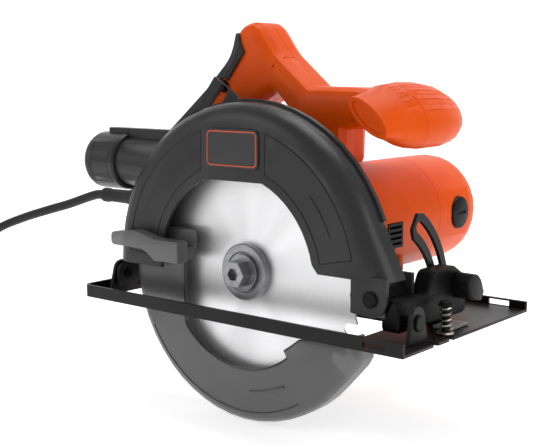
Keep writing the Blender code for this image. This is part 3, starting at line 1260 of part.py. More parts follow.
def make_spindle_lock():
    """The spindle lock button, sliding towards the spindle."""
    x, z = SPINDLE
    y = LOCK_Y
    profile = [(0.0, x - 0.0065), (LOCK_PIN, x - 0.0065), (LOCK_PIN, x - 0.0295),
               (0.0060, x - 0.0295), (0.0060, x - 0.0360), (0.0050, x - 0.0370),
               (0.0, x - 0.0370)]
    lock = turned("spindle_lock_button", profile, "X", (0, y, z), "black", 20)
    return set_origin(lock, (x - 0.030, y, z))


def make_return_spring():
    """The wound spring round the gear case nose that closes the lower guard."""
    low, high = LOWER_BACK + GAP, GUARD_BACK - WALL - GAP
    profile = [(NOSE_RADIUS + 0.0006, high), (LOWER_HUB - 0.001, high),
               (LOWER_HUB - 0.001, low), (NOSE_RADIUS + 0.0006, low)]
    return turned("guard_return_spring", profile, "Y", along_y(SPINDLE), "zinc", 20,
                  closed=True)


def make_brushes():
    """The two carbon brushes between the commutator and the brush caps."""
    x, z = MOTOR_AXIS
    near, far = COMMUTATOR_RADIUS + GAP, MOTOR_RADIUS - BRUSH_DEPTH - GAP
    for name, side in (("carbon_brush_front", 1), ("carbon_brush_rear", -1)):
        low, high = sorted((x + side * near, x + side * far))
        box(name, (low, BRUSH_Y - 0.004, z - 0.003), (high, BRUSH_Y + 0.004, z + 0.003),
            "rubber")


def make_handle_screws():
    """The screws that draw the handle halves together, from the motor side."""
    for i, place in enumerate(SCREW_PLACES, start=1):
        head = HANDLE_FAR - 0.0012
        profile = [(0.0, head), (0.0026, head), (0.0030, head - 0.0006),
                   (0.0030, head - 0.0026), (SCREW_RADIUS, head - 0.0026),
                   (SCREW_RADIUS, SEAM_Y - 0.008), (0.0, SEAM_Y - 0.008)]
        turned(f"handle_screw_{i}", profile, "Y", along_y(place), "steel", 12)


# ----------------------------------------------------------------------- cord
def smooth_path(points, step):
    """Points a step apart on the Catmull-Rom curve through the given points."""
    knots = [Vector(p) for p in points]
    knots = [2 * knots[0] - knots[1]] + knots + [2 * knots[-1] - knots[-2]]
    path = []
    for i in range(1, len(knots) - 2):
        a, b, c, d = knots[i - 1:i + 3]
        count = max(1, round((c - b).length / step))
        for k in range(count):
            t = k / count
            path.append(0.5 * ((2 * b) + (c - a) * t + (2 * a - 5 * b + 4 * c - d) * t ** 2
                               + (3 * b - a - 3 * c + d) * t ** 3))
    path.append(knots[-2])
    return [tuple(p) for p in path]


CORD_ROUTE = [
    (-0.2163, 0.0190, 0.0610), (-0.2260, 0.0190, 0.0603), (-0.2380, 0.0190, 0.0572),
    (-0.2650, 0.0190, 0.0488), (-0.2950, 0.0189, 0.0408), (-0.3290, 0.0180, 0.0310),
    (-0.3620, 0.0140, 0.0185), (-0.3880, 0.0050, 0.0000), (-0.4050, -0.0100, -0.0240),
    (-0.4120, -0.0300, -0.0480), (-0.4120, -0.0530, -0.0660), (-0.4095, -0.0700, -0.0718),
    (-0.4085, -0.0800, -0.0723),
]
PLUG_ROUTE = [
    (-0.3520, -0.1343, -0.0567), (-0.3400, -0.1352, -0.0569), (-0.3290, -0.1373, -0.0580),
    (-0.3190, -0.1400, -0.0600), (-0.3110, -0.1410, -0.0622), (-0.3030, -0.1410, -0.0625),
]


def make_cord():
    """The strain relief, the lead and the short end that runs into the plug."""
    relief = [(0.0, -0.1560), (0.0080, -0.1560), (0.0080, -0.1600), (0.0058, -0.1600),
              (0.0058, -0.1700), (0.0082, -0.1700), (0.0082, -0.1780), (0.0060, -0.1860),
              (0.0055, -0.2080), (0.0062, -0.2110), (0.0062, -0.2160), (0.0, -0.2160)]
    turned("strain_relief", relief, "X", (0, SEAM_Y, 0.0610), "rubber", 16)
    step = 2.5 * 2 * CORD_RADIUS
    tube("power_cord", smooth_path(CORD_ROUTE, step), CORD_RADIUS, "rubber")
    tube("plug_lead", smooth_path(PLUG_ROUTE, step), CORD_RADIUS, "rubber")


def make_plug():
    """The moulded plug with its two round pins."""
    start = PLUG_ROUTE[-1][0] + GAP
    y, z = PLUG_ROUTE[-1][1:]
    radius = z - FLOOR_Z
    profile = [(0.0, start + 0.048), (radius - 0.001, start + 0.048),
               (radius, start + 0.047), (radius, start + 0.030), (0.0100, start + 0.016),
               (0.0062, start + 0.006), (0.0055, start), (0.0, start)]
    turned("mains_plug", profile, "X", (0, y, z), "rubber", 20)
    face = start + 0.048 + GAP
    for name, side in (("plug_pin_left", -0.0070), ("plug_pin_right", 0.0070)):
        rod = [(0.0, face + 0.0190), (0.0014, face + 0.0190), (0.0024, face + 0.0180),
               (0.0024, face), (0.0, face)]
        turned(name, rod, "X", (0, y + side, z), "zinc", 14)


def make_coil():
    """One ring that the stored turns of the lead fill."""
    x, y = COIL_CENTRE
    half = COIL_ROWS * CORD_RADIUS
    outer, inner = COIL_MEAN_RADIUS + half, COIL_MEAN_RADIUS - half
    top = FLOOR_Z + COIL_ROWS * 2 * CORD_RADIUS
    edge = CORD_RADIUS * 0.8
    profile = [(inner + edge, top), (outer - edge, top), (outer, top - edge),
               (outer, FLOOR_Z + edge), (outer - edge, FLOOR_Z), (inner + edge, FLOOR_Z),
               (inner, FLOOR_Z + edge), (inner, top - edge)]
    return turned("cord_coil", profile, "Z", (x, y, 0), "rubber", 28, closed=True)


def main():
    """Build every sub-part."""
    clear_scene()
    make_sole()
    make_bevel_quadrant()
    make_fence_clamp()
    make_front_bracket()
    make_depth_quadrant()
    make_pins()
    make_bevel_knob()
    make_upper_guard()
    make_dust_adaptor()
    make_guard_badge()
    make_lower_guard()
    make_gear_case()
    make_motor_housing()
    make_vent_grille()
    make_motor_end_cap()
    make_brush_caps()
    make_transmission()
    make_stator()
    make_blade()
    make_handle()
    make_overmould()
    make_controls()
    make_depth_lever()
    make_spindle_lock()
    make_cord()
    make_coil()
    make_plug()
    make_return_spring()
    make_brushes()
    make_handle_screws()


main()
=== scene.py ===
"""The looks of a corded circular saw: mouldings, finishes, lead, light and camera.

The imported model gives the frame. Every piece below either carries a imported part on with
softened edges and moulded detail, or adds a piece to it. Lengths are in metres, +X is the
way the saw cuts, +Y runs from the blade to the motor and +Z is up.
"""

from __future__ import annotations

import json
import logging
import math
from dataclasses import dataclass, field
from enum import Enum
from typing import Any

import bmesh
import bpy
from mathutils import Matrix, Vector

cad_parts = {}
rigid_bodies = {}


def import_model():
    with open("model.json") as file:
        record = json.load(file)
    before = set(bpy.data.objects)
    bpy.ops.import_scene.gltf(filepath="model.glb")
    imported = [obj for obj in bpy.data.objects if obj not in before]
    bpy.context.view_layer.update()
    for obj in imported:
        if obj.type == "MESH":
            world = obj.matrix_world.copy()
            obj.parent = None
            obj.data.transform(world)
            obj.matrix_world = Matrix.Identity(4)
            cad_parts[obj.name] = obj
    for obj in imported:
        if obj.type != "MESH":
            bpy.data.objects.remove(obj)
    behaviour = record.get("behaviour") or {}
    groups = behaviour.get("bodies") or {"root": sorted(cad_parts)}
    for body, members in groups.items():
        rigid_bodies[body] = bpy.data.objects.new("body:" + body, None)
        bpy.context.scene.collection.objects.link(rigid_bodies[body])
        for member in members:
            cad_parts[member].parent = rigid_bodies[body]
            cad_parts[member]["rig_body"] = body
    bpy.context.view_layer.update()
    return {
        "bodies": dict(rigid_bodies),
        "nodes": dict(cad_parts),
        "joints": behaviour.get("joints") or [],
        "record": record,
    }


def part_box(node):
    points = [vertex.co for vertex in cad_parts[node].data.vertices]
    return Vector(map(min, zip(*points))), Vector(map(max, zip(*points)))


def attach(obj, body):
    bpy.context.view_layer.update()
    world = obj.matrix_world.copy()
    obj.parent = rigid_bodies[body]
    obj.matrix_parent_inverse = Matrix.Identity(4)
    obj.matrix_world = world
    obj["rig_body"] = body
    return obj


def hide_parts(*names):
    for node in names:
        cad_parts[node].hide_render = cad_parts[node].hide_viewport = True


LOG = logging.getLogger("circular_saw")
Point = tuple[float, float, float]
Colour = tuple[float, float, float]
Socket = bpy.types.NodeSocket

# Axes along Y, as their places in X and Z.
SPINDLE_AXIS = (0.0, 0.029)
MOTOR_AXIS = (0.040, 0.0615)
FENCE_SCREW_AXIS = (0.1425, 0.010)
SPINDLE = Vector((SPINDLE_AXIS[0], 0.0, SPINDLE_AXIS[1]))
MOTOR_CENTRE = Vector((MOTOR_AXIS[0], 0.0, MOTOR_AXIS[1]))

# Levels: the upper guard's outer face in Y, and the floor in Z.
GUARD_FACE = -0.060
FLOOR = -0.0765

# Mesh work: degrees past which an edge is sharp and within which faces are one flat,
# merge distances and a bead's roundness.
SHARP_ANGLE = 35.0
FLAT_ANGLE = 0.5
PART_MERGE = 2e-6
BEAD_MERGE = 1e-6
BEAD_RESOLUTION = 2

# Finishes: how a scuff lightens a colour, the grain's bump, the clear coat and turned grooves.
SCUFF_GAIN, SCUFF_LIFT = 2.5, 0.03
GRAIN_STRENGTH = 0.6
COAT_ROUGHNESS = 0.12
GROOVE_TONE, GROOVE_SHARE = 0.86, 0.35


class Body(str, Enum):
    """The moving bodies that the added pieces ride on."""

    SAW = "saw_body"
    LOWER_GUARD = "guard_lower"


# ------------------------------------------------------------------ shader groups
def new_group(name: str, inputs: dict[str, float | Colour], outputs: dict[str, str]
              ) -> tuple[bpy.types.NodeTree, bpy.types.Node, bpy.types.Node]:
    """Start a shader node group.

    Args:
        name: the group's name.
        inputs: each input's name and its default, a number or a colour.
        outputs: each output's name and its socket type.

    Returns:
        The tree, its input node and its output node.
    """
    tree = bpy.data.node_groups.new(name, "ShaderNodeTree")
    for key, value in inputs.items():
        kind = "NodeSocketColor" if isinstance(value, tuple) else "NodeSocketFloat"
        socket = tree.interface.new_socket(key, in_out="INPUT", socket_type=kind)
        socket.default_value = (*value, 1.0) if isinstance(value, tuple) else value
    for key, kind in outputs.items():
        tree.interface.new_socket(key, in_out="OUTPUT", socket_type=kind)
    return tree, tree.nodes.new("NodeGroupInput"), tree.nodes.new("NodeGroupOutput")


def noise(tree: bpy.types.NodeTree, vector: Socket, scale: float,
          detail: float = 2.0) -> Socket:
    """Add a noise texture on a vector socket and return its factor socket."""
    node = tree.nodes.new("ShaderNodeTexNoise")
    node.inputs["Scale"].default_value = scale
    node.inputs["Detail"].default_value = detail
    tree.links.new(vector, node.inputs["Vector"])
    return node.outputs["Fac"]


def maths(tree: bpy.types.NodeTree, operation: str, *values: Socket | float) -> Socket:
    """Add a maths node on sockets or numbers and return its value socket."""
    node = tree.nodes.new("ShaderNodeMath")
    node.operation = operation
    for socket, value in zip(node.inputs, values):
        if isinstance(value, (int, float)):
            socket.default_value = value
        else:
            tree.links.new(value, socket)
    return node.outputs[0]


def blend_colour(tree: bpy.types.NodeTree, factor: Socket, first: Socket | Colour,
                 second: Socket | Colour) -> Socket:
    """Mix two colour sockets or colours by a factor socket."""
    node = tree.nodes.new("ShaderNodeMix")
    node.data_type = "RGBA"
    tree.links.new(factor, node.inputs[0])
    for socket, value in ((node.inputs[6], first), (node.inputs[7], second)):
        if isinstance(value, tuple):
            socket.default_value = (*value, 1.0)
        else:
            tree.links.new(value, socket)
    return node.outputs[2]


def ramp(tree: bpy.types.NodeTree, value: Socket, low: float, high: float) -> Socket:
    """Map a value from low..high to 0..1, clamped."""
    node = tree.nodes.new("ShaderNodeMapRange")
    node.inputs["From Min"].default_value = low
    node.inputs["From Max"].default_value = high
    tree.links.new(value, node.inputs["Value"])
    return node.outputs["Result"]


class Shop:
    """The shader groups that the finishes share, built once."""

    def __init__(self) -> None:
        """Build every group."""
        self.grain = self.build_grain()
        self.scuff = self.build_scuff()
        self.rings = self.build_rings()

    @staticmethod
    def build_grain() -> bpy.types.NodeTree:
        """Moulded grain: a fine height with a slow drift of tone and gloss."""
        tree, start, end = new_group(
            "Moulded grain",
            {"Tint": (0.5, 0.5, 0.5), "Shade": (0.3, 0.3, 0.3), "Size": 1600.0,
             "Matt": 0.5, "Spread": 0.1},
            {"Color": "NodeSocketColor", "Roughness": "NodeSocketFloat",
             "Height": "NodeSocketFloat"})
        place = tree.nodes.new("ShaderNodeTexCoord").outputs["Object"]
        cells = tree.nodes.new("ShaderNodeTexVoronoi")
        tree.links.new(place, cells.inputs["Vector"])
        tree.links.new(start.outputs["Size"], cells.inputs["Scale"])
        drift = noise(tree, place, 22.0, 3.0)
        fine = noise(tree, place, 900.0, 2.0)
        tone = ramp(tree, drift, 0.30, 0.70)
        tree.links.new(blend_colour(tree, tone, start.outputs["Shade"],
                                    start.outputs["Tint"]), end.inputs["Color"])
        swing = maths(tree, "MULTIPLY", maths(tree, "SUBTRACT", fine, 0.5),
                      start.outputs["Spread"])
        tree.links.new(maths(tree, "ADD", start.outputs["Matt"], swing),
                       end.inputs["Roughness"])
        tree.links.new(maths(tree, "ADD", cells.outputs["Distance"], fine),
                       end.inputs["Height"])
        return tree

    @staticmethod
    def build_scuff() -> bpy.types.NodeTree:
        """Light handling scuffs: a mask of short thin scratches."""
        tree, start, end = new_group("Scuff", {"Amount": 0.2}, {"Mask": "NodeSocketFloat"})
        place = tree.nodes.new("ShaderNodeTexCoord").outputs["Object"]
        shape = tree.nodes.new("ShaderNodeVectorMath")
        shape.operation = "MULTIPLY"
        tree.links.new(place, shape.inputs[0])
        shape.inputs[1].default_value = (0.12, 1.0, 1.0)
        streaks = noise(tree, shape.outputs[0], 420.0, 4.0)
        patches = noise(tree, place, 30.0, 2.0)
        thin = ramp(tree, streaks, 0.60, 0.72)
        here = ramp(tree, patches, 0.48, 0.62)
        tree.links.new(maths(tree, "MULTIPLY", maths(tree, "MULTIPLY", thin, here),
                             start.outputs["Amount"]), end.inputs["Mask"])
        return tree

    @staticmethod
    def build_rings() -> bpy.types.NodeTree:
        """Turned metal round an axis along Y: grooves, and a painted sheen, a slow light and
        dark sweep of tone round the axis that stands in for brushed highlights.
        """
        tree, start, end = new_group(
            "Turned rings",
            {"Centre X": SPINDLE_AXIS[0], "Centre Z": SPINDLE_AXIS[1], "Pitch": 2400.0},
            {"Height": "NodeSocketFloat", "Streak": "NodeSocketFloat",
             "Painted sheen": "NodeSocketFloat"})
        split = tree.nodes.new("ShaderNodeSeparateXYZ")
        tree.links.new(tree.nodes.new("ShaderNodeTexCoord").outputs["Object"],
                       split.inputs[0])
        across = maths(tree, "SUBTRACT", split.outputs["X"], start.outputs["Centre X"])
        up = maths(tree, "SUBTRACT", split.outputs["Z"], start.outputs["Centre Z"])
        squares = maths(tree, "ADD", maths(tree, "MULTIPLY", across, across),
                        maths(tree, "MULTIPLY", up, up))
        radius = maths(tree, "SQRT", squares)
        angle = maths(tree, "ARCTAN2", up, across)
        ring = tree.nodes.new("ShaderNodeCombineXYZ")
        tree.links.new(maths(tree, "MULTIPLY", radius, start.outputs["Pitch"]),
                       ring.inputs["X"])
        tree.links.new(maths(tree, "MULTIPLY", angle, 3.0), ring.inputs["Y"])
        fine = noise(tree, ring.outputs[0], 1.0, 3.0)
        tree.links.new(fine, end.inputs["Height"])
        tree.links.new(ramp(tree, fine, 0.35, 0.65), end.inputs["Streak"])
        # Painted sheen: a slow noise by angle round the axis, which the materials use to
        # lighten and darken the colour in sectors, as brushed highlights would.
        sheen_angle = tree.nodes.new("ShaderNodeCombineXYZ")
        tree.links.new(maths(tree, "COSINE", angle), sheen_angle.inputs["X"])
        tree.links.new(maths(tree, "SINE", angle), sheen_angle.inputs["Y"])
        tree.links.new(ramp(tree, noise(tree, sheen_angle.outputs[0], 1.3, 1.0), 0.35, 0.65),
                       end.inputs["Painted sheen"])
        return tree


# ------------------------------------------------------------------------ finishes
@dataclass(frozen=True)
class Moulding:
    """Plastic, rubber or paint with a fine grain.

    Attributes:
        name: the material's name.
        tint: its colour.
        shade: the darker tone that the colour drifts to.
        matt: its roughness.
        grain: the grain's cells per metre.
        depth: the grain's depth.
        scuffs: how much the edges and faces are scuffed.
        coat: a clear gloss over it.
        alpha: how solid it is.
        shine: how strongly it mirrors the room.
        glow: the light that a studio surface gives off.
    """

    name: str
    tint: Colour
    shade: Colour
    matt: float = 0.5
    grain: float = 1600.0
    depth: float = 0.00004
    scuffs: float = 0.0
    coat: float = 0.0
    alpha: float = 1.0
    shine: float = 0.35
    glow: float = 0.0

    def build(self, shop: Shop) -> bpy.types.Material:
        """Build the material from the shop's groups."""
        material = bpy.data.materials.new(self.name)
        material.use_nodes = True
        tree = material.node_tree
        shader = tree.nodes["Principled BSDF"]
        group = tree.nodes.new("ShaderNodeGroup")
        group.node_tree = shop.grain
        group.inputs["Tint"].default_value = (*self.tint, 1.0)
        group.inputs["Shade"].default_value = (*self.shade, 1.0)
        group.inputs["Size"].default_value = self.grain
        group.inputs["Matt"].default_value = self.matt
        colour = group.outputs["Color"]
        if self.scuffs:
            marks = tree.nodes.new("ShaderNodeGroup")
            marks.node_tree = shop.scuff
            marks.inputs["Amount"].default_value = self.scuffs
            pale = tuple(min(1.0, part * SCUFF_GAIN + SCUFF_LIFT) for part in self.tint)
            colour = blend_colour(tree, marks.outputs["Mask"], colour, pale)
        tree.links.new(colour, shader.inputs["Base Color"])
        tree.links.new(group.outputs["Roughness"], shader.inputs["Roughness"])
        bump = tree.nodes.new("ShaderNodeBump")
        bump.inputs["Distance"].default_value = self.depth
        bump.inputs["Strength"].default_value = GRAIN_STRENGTH
        tree.links.new(group.outputs["Height"], bump.inputs["Height"])
        tree.links.new(bump.outputs["Normal"], shader.inputs["Normal"])
        shader.inputs["Coat Weight"].default_value = self.coat
        shader.inputs["Coat Roughness"].default_value = COAT_ROUGHNESS
        shader.inputs["Alpha"].default_value = self.alpha
        shader.inputs["Specular IOR Level"].default_value = self.shine
        shader.inputs["Emission Color"].default_value = (1.0, 1.0, 1.0, 1.0)
        shader.inputs["Emission Strength"].default_value = self.glow
        return material


@dataclass(frozen=True)
class Turned:
    """Bright metal with turning marks round an axis, and a painted sheen: lighter and darker
    sectors of colour round the axis in place of brushed highlights.

    Attributes:
        name: the material's name.
        bright: its lighter tone, where the painted sheen is brightest.
        dark: its darker tone, between the painted sheen's bright sectors.
        rough: its roughness.
        centre: the axis's place in X and Z.
        depth: the depth of the marks.
    """

    name: str
    bright: Colour
    dark: Colour
    rough: float = 0.3
    centre: tuple[float, float] = SPINDLE_AXIS
    depth: float = 0.00001

    def build(self, shop: Shop) -> bpy.types.Material:
        """Build the material from the shop's groups."""
        material = bpy.data.materials.new(self.name)
        material.use_nodes = True
        tree = material.node_tree
        shader = tree.nodes["Principled BSDF"]
        group = tree.nodes.new("ShaderNodeGroup")
        group.node_tree = shop.rings
        group.inputs["Centre X"].default_value = self.centre[0]
        group.inputs["Centre Z"].default_value = self.centre[1]
        # Painted sheen: the colour runs from the dark to the bright tone by angle round the
        # axis, standing in for brushed highlights; the grooves are mixed over it.
        sweep = blend_colour(tree, group.outputs["Painted sheen"], self.dark, self.bright)
        grooves = tuple(part * GROOVE_TONE for part in self.bright)
        share = maths(tree, "MULTIPLY", group.outputs["Streak"], GROOVE_SHARE)
        tree.links.new(blend_colour(tree, share, sweep, grooves),
                       shader.inputs["Base Color"])
        shader.inputs["Metallic"].default_value = 1.0
        shader.inputs["Roughness"].default_value = self.rough
        bump = tree.nodes.new("ShaderNodeBump")
        bump.inputs["Distance"].default_value = self.depth
        tree.links.new(group.outputs["Height"], bump.inputs["Height"])
        tree.links.new(bump.outputs["Normal"], shader.inputs["Normal"])
        return material


ORANGE = Moulding("Orange moulding", (0.80, 0.092, 0.002), (0.71, 0.074, 0.002),
                  matt=0.38, depth=0.00002, shine=0.12)
GUARD_GREY = Moulding("Guard grey", (0.034, 0.034, 0.0345), (0.027, 0.027, 0.0275),
                      matt=0.34, depth=0.00003, scuffs=0.04, shine=0.24)
BADGE_GREY = Moulding("Badge face", (0.036, 0.036, 0.038), (0.030, 0.030, 0.032),
                      matt=0.35, coat=0.1, shine=0.3)
BADGE_ORANGE = Moulding("Badge border", (0.52, 0.085, 0.030), (0.46, 0.07, 0.025), matt=0.4)
SMOKE = Moulding("Smoky plastic", (0.130, 0.130, 0.132), (0.112, 0.112, 0.114),
                 matt=0.30, grain=5000.0, depth=0.000004, coat=0.15, alpha=0.82)
SMOKE_EDGE = Moulding("Smoky plastic edge", (0.020, 0.020, 0.020), (0.014, 0.014, 0.014),
                      matt=0.30, coat=0.3)
BLACK_MOULDING = Moulding("Black moulding", (0.007, 0.007, 0.007), (0.005, 0.005, 0.005),
                          matt=0.40, shine=0.12)
CASTING = Moulding("Black casting", (0.005, 0.005, 0.005), (0.0035, 0.0035, 0.0035),
                   matt=0.42, grain=700.0, depth=0.00010, shine=0.10)
SOLE_PAINT = Moulding("Sole paint", (0.012, 0.011, 0.011), (0.008, 0.007, 0.007),
                      matt=0.36, depth=0.00003, scuffs=0.06, shine=0.16)
QUADRANT_PAINT = Moulding("Quadrant paint", (0.034, 0.034, 0.036), (0.026, 0.026, 0.028),
                          matt=0.42, scuffs=0.06, shine=0.18)
RUBBER = Moulding("Soft rubber", (0.022, 0.022, 0.023), (0.016, 0.016, 0.017), matt=0.68,
                  grain=900.0, depth=0.00010)
LEAD_RUBBER = Moulding("Lead rubber", (0.014, 0.014, 0.015), (0.010, 0.010, 0.010), matt=0.5,
                       shine=0.25)
CARBON = Moulding("Carbon", (0.015, 0.015, 0.015), (0.010, 0.010, 0.010), matt=0.7)
PALE_PLATE = Moulding("Pale plate", (0.33, 0.32, 0.33), (0.27, 0.26, 0.27), matt=0.42)
# Each turned finish below carries a painted sheen: lighter and darker sectors of colour round
# its axis.
BLADE_STEEL = Turned("Blade steel", (0.92, 0.92, 0.93), (0.72, 0.72, 0.73), rough=0.46,
                     depth=0.00002)
FLANGE_STEEL = Turned("Flange steel", (0.36, 0.36, 0.37), (0.26, 0.26, 0.27), rough=0.42)
MOTOR_STEEL = Turned("Motor steel", (0.50, 0.50, 0.51), (0.38, 0.38, 0.39), rough=0.35,
                     centre=MOTOR_AXIS)
COPPER = Turned("Copper windings", (0.62, 0.27, 0.12), (0.45, 0.17, 0.07), rough=0.35,
                centre=MOTOR_AXIS)
BRASS_ZINC = Turned("Yellow zinc", (0.55, 0.50, 0.40), (0.38, 0.34, 0.27), rough=0.35,
                    centre=FENCE_SCREW_AXIS)
ALLOY = Turned("Cast alloy", (0.42, 0.42, 0.43), (0.34, 0.34, 0.35), rough=0.5,
               centre=MOTOR_AXIS)
FLOOR_WHITE = Moulding("Studio floor", (0.90, 0.90, 0.90), (0.89, 0.89, 0.89), matt=0.9,
                       shine=0.1, glow=0.62)


# ----------------------------------------------------------------------- mesh tools
def add_object(name: str, data: bpy.types.ID) -> bpy.types.Object:
    """Link a new object at the origin with a mesh, curve, lamp or camera."""
    obj = bpy.data.objects.new(name, data)
    bpy.context.scene.collection.objects.link(obj)
    return obj


def finish_mesh(name: str, work: bmesh.types.BMesh) -> bpy.types.Object:
    """Turn a bmesh into a smooth-shaded object with its sharp edges marked."""
    mesh = bpy.data.meshes.new(name)
    work.to_mesh(mesh)
    work.free()
    mesh.shade_smooth()
    mesh.set_sharp_from_angle(angle=math.radians(SHARP_ANGLE))
    return add_object(name, mesh)


def soften(obj: bpy.types.Object, width: float, segments: int) -> None:
    """Round an object's edges with a Bevel modifier."""
    bevel = obj.modifiers.new("soft edges", "BEVEL")
    bevel.width = width
    bevel.segments = segments
    bevel.limit_method = "ANGLE"
    bevel.angle_limit = math.radians(SHARP_ANGLE)
    bevel.harden_normals = True
    bevel.use_clamp_overlap = True


def cut(obj: bpy.types.Object, cutters: list[bpy.types.Object]) -> None:
    """Cut other meshes out of an object and remove them."""
    for other in cutters:
        change = obj.modifiers.new("cut", "BOOLEAN")
        change.solver = "EXACT"
        change.object = other
    graph = bpy.context.evaluated_depsgraph_get()
    mesh = bpy.data.meshes.new_from_object(obj.evaluated_get(graph), depsgraph=graph)
    obj.modifiers.clear()
    obj.data = mesh
    for other in cutters:
        bpy.data.objects.remove(other)
    mesh.shade_smooth()
    mesh.set_sharp_from_angle(angle=math.radians(SHARP_ANGLE))


def tube(name: str, points: list[Point] | list[Vector], radius: float, resolution: int,
         closed: bool = False) -> bpy.types.Object:
    """A round tube along a path, as a curve, with capped ends where the path is open."""
    curve = bpy.data.curves.new(name, "CURVE")
    curve.dimensions = "3D"
    curve.bevel_depth = radius
    curve.bevel_resolution = resolution
    curve.use_fill_caps = not closed
    spline = curve.splines.new("POLY")
    spline.points.add(len(points) - 1)
    for knot, place in zip(spline.points, points):
        knot.co = (*place, 1.0)
    spline.use_cyclic_u = closed
    return add_object(name, curve)


def wire(name: str, points: list[Point], radius: float,
         closed: bool = False) -> bpy.types.Object:
    """A round bead along a path, as a mesh."""
    holder = tube(name, points, radius, BEAD_RESOLUTION, closed)
    graph = bpy.context.evaluated_depsgraph_get()
    mesh = bpy.data.meshes.new_from_object(holder.evaluated_get(graph), depsgraph=graph)
    bpy.data.objects.remove(holder)
    work = bmesh.new()
    work.from_mesh(mesh)
    bmesh.ops.remove_doubles(work, verts=work.verts, dist=BEAD_MERGE)
    bmesh.ops.recalc_face_normals(work, faces=work.faces)
    return finish_mesh(name, work)


def arc(centre: Vector, radius: float, start: float, end: float, count: int,
        y: float) -> list[Point]:
    """Points on an arc in the XZ plane, angles in degrees from +X towards +Z."""
    run = []
    for step in range(count + 1):
        angle = math.radians(start + (end - start) * step / count)
        run.append((centre.x + radius * math.cos(angle), y,
                    centre.z + radius * math.sin(angle)))
    return run


def lathe(name: str, profile: list[tuple[float, float]], centre: Vector,
          steps: int) -> bpy.types.Object:
    """Turn a profile of (radius, place along the axis) round an axis along X."""
    work = bmesh.new()
    rings = []
    for radius, along in profile:
        ring = []
        for step in range(steps if radius else 1):
            angle = 2 * math.pi * step / steps
            ring.append(work.verts.new((along, centre.y + radius * math.cos(angle),
                                        centre.z + radius * math.sin(angle))))
        rings.append(ring)
    for before, after in zip(rings, rings[1:]):
        for step in range(steps):
            corners = [before[step % len(before)], before[(step + 1) % len(before)],
                       after[(step + 1) % len(after)], after[step % len(after)]]
            work.faces.new(list(dict.fromkeys(corners)))
    bmesh.ops.recalc_face_normals(work, faces=work.faces)
    return finish_mesh(name, work)


def rounded_box(name: str, low: Point, high: Point, edge: float) -> bpy.types.Object:
    """A block with rounded edges between two corners."""
    work = bmesh.new()
    bmesh.ops.create_cube(work, size=1.0)
    size = Vector(high) - Vector(low)
    bmesh.ops.scale(work, vec=size, verts=work.verts)
    bmesh.ops.translate(work, vec=(Vector(low) + Vector(high)) / 2, verts=work.verts)
    bmesh.ops.bevel(work, geom=work.edges[:], offset=edge, offset_type="OFFSET",
                    segments=2, profile=0.5, affect="EDGES", material=-1)
    return finish_mesh(name, work)


def smooth_path(knots: list[Vector], step: float) -> list[Vector]:
    """Points about a step apart on the smooth curve through the knots."""
    ends = [2 * knots[0] - knots[1]] + knots + [2 * knots[-1] - knots[-2]]
    path = []
    for index in range(1, len(ends) - 2):
        a, b, c, d = ends[index - 1:index + 3]
        count = max(1, round((c - b).length / step))
        for part in range(count):
            t = part / count
            path.append(0.5 * ((2 * b) + (c - a) * t
                               + (2 * a - 5 * b + 4 * c - d) * t ** 2
                               + (3 * b - a - 3 * c + d) * t ** 3))
    return path + [ends[-2]]


# ---------------------------------------------------------------------- the workshop
@dataclass
class Workshop:
    """What every sub-assembly needs: the frame, the groups and the made materials."""

    frame: dict[str, Any]
    shop: Shop = field(default_factory=Shop)
    made: dict[str, bpy.types.Material] = field(default_factory=dict)

    def dress(self, obj: bpy.types.Object, finish: Moulding | Turned) -> None:
        """Give an object one finish."""
        if finish.name not in self.made:
            self.made[finish.name] = finish.build(self.shop)
        obj.data.materials.clear()
        obj.data.materials.append(self.made[finish.name])

    def keep(self, finish: Moulding | Turned, *nodes: str) -> None:
        """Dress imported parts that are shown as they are."""
        for node in nodes:
            self.dress(self.frame["nodes"][node], finish)

    def refine(self, node: str, finish: Moulding | Turned, edge: float = 0.0004,
               segments: int = 2, cutters: tuple[bpy.types.Object, ...] = ()
               ) -> bpy.types.Object:
        """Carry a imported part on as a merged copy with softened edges.

        Args:
            node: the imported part's name.
            finish: its finish.
            edge: how far its edges are rounded.
            segments: faces across a rounded edge.
            cutters: meshes that are cut out of it.

        Returns:
            The new object, which rides on the part's body and replaces it.
        """
        source = self.frame["nodes"][node]
        work = bmesh.new()
        work.from_mesh(source.data)
        bmesh.ops.remove_doubles(work, verts=work.verts, dist=PART_MERGE)
        bmesh.ops.dissolve_limit(work, angle_limit=math.radians(FLAT_ANGLE),
                                 verts=work.verts, edges=work.edges)
        obj = finish_mesh(f"{node}_shell", work)
        if cutters:
            cut(obj, list(cutters))
        soften(obj, edge, segments)
        self.dress(obj, finish)
        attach(obj, source["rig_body"])
        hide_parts(node)
        return obj

    def add(self, obj: bpy.types.Object, finish: Moulding | Turned, body: Body) -> None:
        """Dress a new piece and let it ride on a body."""
        self.dress(obj, finish)
        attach(obj, body.value)


# ------------------------------------------------------------------ sub-assemblies
@dataclass
class Sole:
    """The pressed sole, its fence clamp and the bevel quadrant."""

    shop: Workshop

    def build(self) -> None:
        """Refine the sole's parts."""
        self.shop.refine("sole_plate", SOLE_PAINT, 0.0004)
        self.shop.refine("bevel_quadrant", SOLE_PAINT, 0.0004)
        self.shop.refine("fence_clamp_plate", PALE_PLATE, 0.0003)
        self.shop.keep(BRASS_ZINC, "fence_clamp_spring", "fence_clamp_washer")
        self.shop.refine("fence_clamp_screw", BLACK_MOULDING, 0.0002)
        for pin in ("rear_bevel_pin", "front_bevel_pin"):
            self.shop.refine(pin, BLACK_MOULDING, 0.0003)


